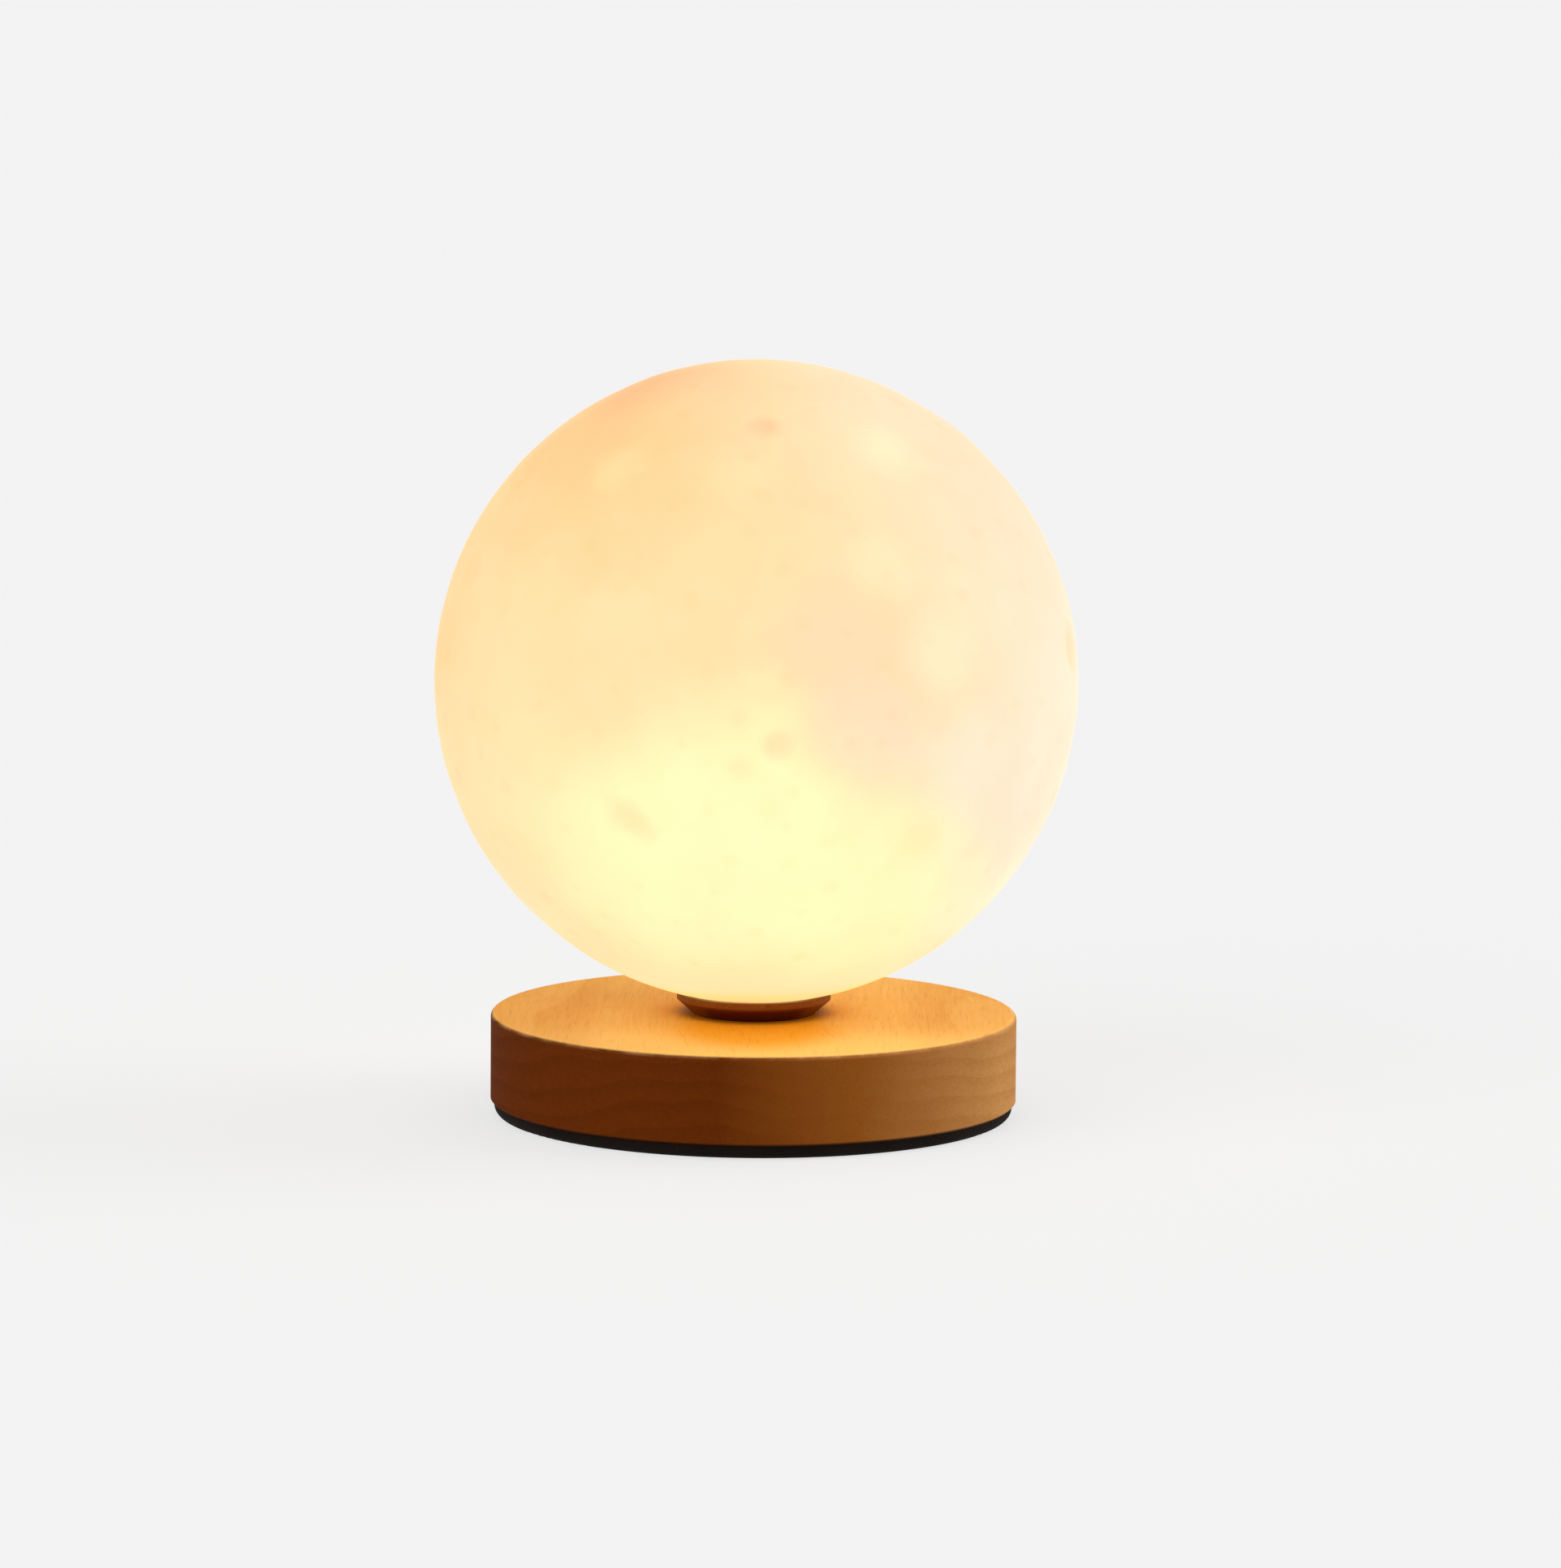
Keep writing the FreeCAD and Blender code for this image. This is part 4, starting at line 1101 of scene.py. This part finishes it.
@dataclass
class PortContacts:
    """Two rows of gilt contacts on the tongue of the charging port."""

    tongue_low: Vector
    tongue_high: Vector
    count: int = 12
    pitch: float = 0.5 * MM
    width: float = 0.26 * MM
    length: float = 2.6 * MM
    nose: float = 0.07 * MM
    setback: float = 0.35 * MM
    thickness: float = 0.04 * MM

    def contact(self) -> Thing:
        """Make one contact: a thin strip whose front corners are cut off.

        Returns:
            The strip, lying about the origin.
        """
        half, end = self.width / 2, self.length / 2
        outline = ((-half, -end), (half, -end), (half, end - self.nose), (half - self.nose, end),
                   (self.nose - half, end), (-half, end - self.nose))
        made = bmesh.new()
        under, over = ([made.verts.new((x, y, z)) for x, y in outline] for z in (0.0, self.thickness))
        made.faces.new(under)
        made.faces.new(over)
        for k, corner in enumerate(under):
            made.faces.new((corner, under[k - 1], over[k - 1], over[k]))
        bmesh.ops.recalc_face_normals(made, faces=made.faces)
        return add_thing("contact", made)

    def rows_tree(self) -> Tree:
        """Build the tree that lays copies of one small piece in rows.

        Returns:
            The geometry node tree.
        """
        w, given, out = open_tree("copy_rows", "Geometry", {"Geometry": "Geometry"}, {
            "Geometry": "Geometry", "Object": "Copy", "Material": "Finish", "Int": "Count, Rows",
            "Vector": "First, Step, Row Step"})
        copy = w.node("GeometryNodeObjectInfo", {"Object": given["Copy"]}).outputs["Geometry"]
        starts = w.node("GeometryNodeMeshLine", {
            "Count": given["Rows"], "Start Location": given["First"], "Offset": given["Row Step"]}).outputs[0]
        row = w.node("GeometryNodeMeshLine", {"Count": given["Count"], "Offset": given["Step"]}).outputs[0]
        places = w.node("GeometryNodeInstanceOnPoints", {"Points": starts, "Instance": row}).outputs[0]
        stations = w.node("GeometryNodeRealizeInstances", {"Geometry": places}).outputs[0]
        copies = w.node("GeometryNodeInstanceOnPoints", {"Points": stations, "Instance": copy}).outputs[0]
        close_tree(w, copies, given["Finish"], out)
        return w.tree

    def build(self, finish: Material) -> Thing:
        """Lay the contacts on the tongue's upper and lower face.

        Args:
            finish: their material.

        Returns:
            The finished piece.
        """
        low, high = self.tongue_low, self.tongue_high
        first = ((low.x + high.x) / 2 - (self.count - 1) / 2 * self.pitch,
                 high.y - self.length / 2 - self.setback, low.z - self.thickness)
        copy = self.contact()
        contacts = add_thing("port_contacts", bpy.data.meshes.new("port_contacts"))
        grow(contacts, self.rows_tree(), {
            "Copy": copy, "Finish": finish, "First": first, "Count": self.count, "Rows": 2,
            "Step": (self.pitch, 0.0, 0.0), "Row Step": (0.0, 0.0, high.z - low.z + self.thickness)})
        bpy.data.objects.remove(copy)
        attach(contacts, "base")
        return contacts


# ---- The finishes of this lamp ----


@dataclass
class FinishBook:
    """Every finish of the lamp, by the record's slot."""

    globe_middle: Vector
    collar_high: Vector
    wood_high: Vector
    lip_over_wood: float = 3 * MM
    made: dict[str, Material] = field(default_factory=dict)

    def finishes(self) -> list[Finish]:
        """List one finish for each slot of the record.

        Returns:
            The finishes, each ready to be made.
        """
        return [
            MoonFinish("lit_globe", "f1c28c", 0.55, 0.3, middle=tuple(self.globe_middle),
                       patches=GLOW_PATCHES, spots=FRONT_SPOTS + REAR_SPOTS),
            CollarFinish("dark_collar", "824606", 0.45, 0.1,
                         lip_radius=self.collar_high.x, lip_height=self.wood_high.z + self.lip_over_wood),
            TurnedWoodFinish("wood", "e6b056", 0.5, 0.03, radius=self.wood_high.x, top=self.wood_high.z),
            FoamFinish("black_foam", "0c0603", 0.9, 0.1),
            MetalFinish("plate_steel", "b9babc", 0.36, working=Working.BRUSHED),
            MetalFinish("zinc_steel", "c6c8cb", 0.28),
            MetalFinish("brass", "d9b56c", 0.26, working=Working.TURNED),
            LitFinish("led_phosphor", "f0c040", 0.5, glow="ffcf70", strength=3.0),
            LitFinish("frosted_lens", "b4a486", 0.5, glow="ffc478", strength=0.8),
            MouldedFinish("silicone", "d8d4cc", 0.55, depth=0.02 * MM),
            BoardFinish("green_board", "1f6a38", 0.45),
            FoilFinish("foil_pouch", "c4c6c8", 0.35),
            MouldedFinish("black_plastic", "161515", 0.5, grain=3600.0, depth=0.08 * MM),
            MetalFinish("black_screw", "2c2c2e", 0.4),
            MetalFinish("port_steel", "cdcfd2", 0.24),
            *(MouldedFinish(*plain) for plain in (
                ("white_board", "e9e8e2", 0.35), ("white_plastic", "ece6da", 0.45),
                ("chip_black", "1b1b1d", 0.5), ("ferrite", "3a3b3e", 0.7), ("ceramic", "b58f66", 0.4),
                ("wire_red", "b01818", 0.45), ("wire_black", "141414", 0.45),
                ("switch_cream", "d8cfb4", 0.5))),
        ]

    def make(self, effects: SharedEffects) -> None:
        """Build every material from the shared effects."""
        for finish in self.finishes():
            self.made[finish.slot] = finish.make(effects)

    def dress(self, nodes: dict[str, Thing], record: dict) -> int:
        """Give each carried-over node the finish that the record names for it.

        Args:
            nodes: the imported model's nodes.
            record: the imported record.

        Returns:
            How many nodes were dressed.
        """
        for part in record["subparts"]:
            materials = nodes[part["node"]].data.materials
            materials.clear()
            materials.append(self.made[part["material_slot"]])
        return len(record["subparts"])


# ---- The studio ----


@dataclass
class SoftLight:
    """A distant soft light: where it comes from, how strong and how wide it is."""

    name: str
    azimuth: float
    elevation: float
    strength: float
    spread: float


@dataclass
class Studio:
    """Pale paper floor, soft lights and the camera."""

    floor_reach: float = 9.0
    floor_cells: int = 8
    floor_drop: float = 0.05 * MM
    floor_tone: str = "6c6c6c"
    floor_glow: float = 0.69
    sky_heights: Span = (0.10, 0.55)
    sky_strengths: Span = (0.887, 0.5)
    lights: tuple[SoftLight, ...] = (
        SoftLight("side_softbox", 98.0, 32.0, 1.5, 40.0),
        SoftLight("front_softbox", -40.0, 42.0, 1.3, 50.0),
        SoftLight("overhead_softbox", 150.0, 75.0, 0.9, 60.0),
    )
    camera_place: tuple[float, float, float] = (0.0, -1.44841, 0.25983)
    camera_pitch: float = 8.168
    camera_yaw: float = 0.154
    camera_roll: float = 0.463
    camera_lens: float = 216.06
    camera_sees: float = 60.0
    sensor: float = 36.0

    def lay_floor(self) -> None:
        """Lay the paper floor under the lamp."""
        made = bmesh.new()
        bmesh.ops.create_grid(made, x_segments=self.floor_cells, y_segments=self.floor_cells,
                              size=self.floor_reach, matrix=Matrix.Translation((0.0, 0.0, -self.floor_drop)))
        floor = add_thing("paper_floor", made)
        paper = Coat("pale_paper", SharedEffects())
        paper.set(Base_Color=self.floor_tone, Roughness=1.0, Specular_IOR_Level=0.0,
                  Emission_Color=(1.0, 1.0, 1.0), Emission_Strength=self.floor_glow)
        floor.data.materials.append(paper.material)

    def hang_lights(self) -> None:
        """Hang the soft lights and light the room behind them."""
        for soft in self.lights:
            sun = bpy.data.lights.new(soft.name, "SUN")
            sun.energy = soft.strength
            sun.angle = math.radians(soft.spread)
            way = heading(soft.azimuth, soft.elevation)
            add_thing(soft.name, sun).rotation_euler = way.to_track_quat("Z", "Y").to_euler()
        room = bpy.data.worlds.new("studio_room")
        room.use_nodes = True
        room.node_tree.nodes.clear()
        w = Wiring(room.node_tree)
        up = w.split(w.node("ShaderNodeTexCoord").outputs["Generated"])[2]
        light = w.ramp(up, *self.sky_heights, *self.sky_strengths)
        back = w.node("ShaderNodeBackground", {"Color": (1.0, 1.0, 1.0), "Strength": light})
        w.node("ShaderNodeOutputWorld", {"Surface": back.outputs[0]})
        bpy.context.scene.world = room

    def set_camera(self) -> None:
        """Put the camera where the lamp was seen from."""
        lens = bpy.data.cameras.new("lamp_camera")
        lens.sensor_fit = "VERTICAL"
        lens.sensor_height = self.sensor
        lens.sensor_width = self.sensor
        lens.lens = self.camera_lens
        lens.clip_end = self.camera_sees
        camera = add_thing("lamp_camera", lens)
        stand = Matrix.Translation(self.camera_place)
        for turn, axis in ((-self.camera_yaw, "Z"), (90.0 - self.camera_pitch, "X"), (self.camera_roll, "Z")):
            stand = stand @ Matrix.Rotation(math.radians(turn), 4, axis)
        camera.matrix_world = stand
        bpy.context.scene.camera = camera

    def build(self) -> None:
        """Set up the whole studio."""
        self.lay_floor()
        self.hang_lights()
        self.set_camera()
        bpy.context.scene.view_settings.view_transform = "Standard"


def main() -> None:
    """Build the lamp's looks around its frame."""
    logging.basicConfig(level=logging.INFO, format="%(name)s: %(message)s")
    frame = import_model()
    globe_low, globe_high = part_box("globe")
    collar_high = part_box("globe_collar")[1]
    radius = globe_high.x
    middle = Vector((0.0, 0.0, globe_high.z - radius))

    book = FinishBook(middle, collar_high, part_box("wood_base")[1])
    book.make(SharedEffects())
    log.info("dressed %d nodes", book.dress(frame["nodes"], frame["record"]))

    globe = MoonGlobe(radius, middle, globe_low.z, collar_high.z).build(book.made["lit_globe"])
    contacts = PortContacts(*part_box("usb_socket_blade")).build(book.made["brass"])
    for piece in (globe, contacts):
        log.info("%s: %d faces", piece.name, len(piece.data.polygons))

    Studio().build()


if __name__ == "__main__":
    main()
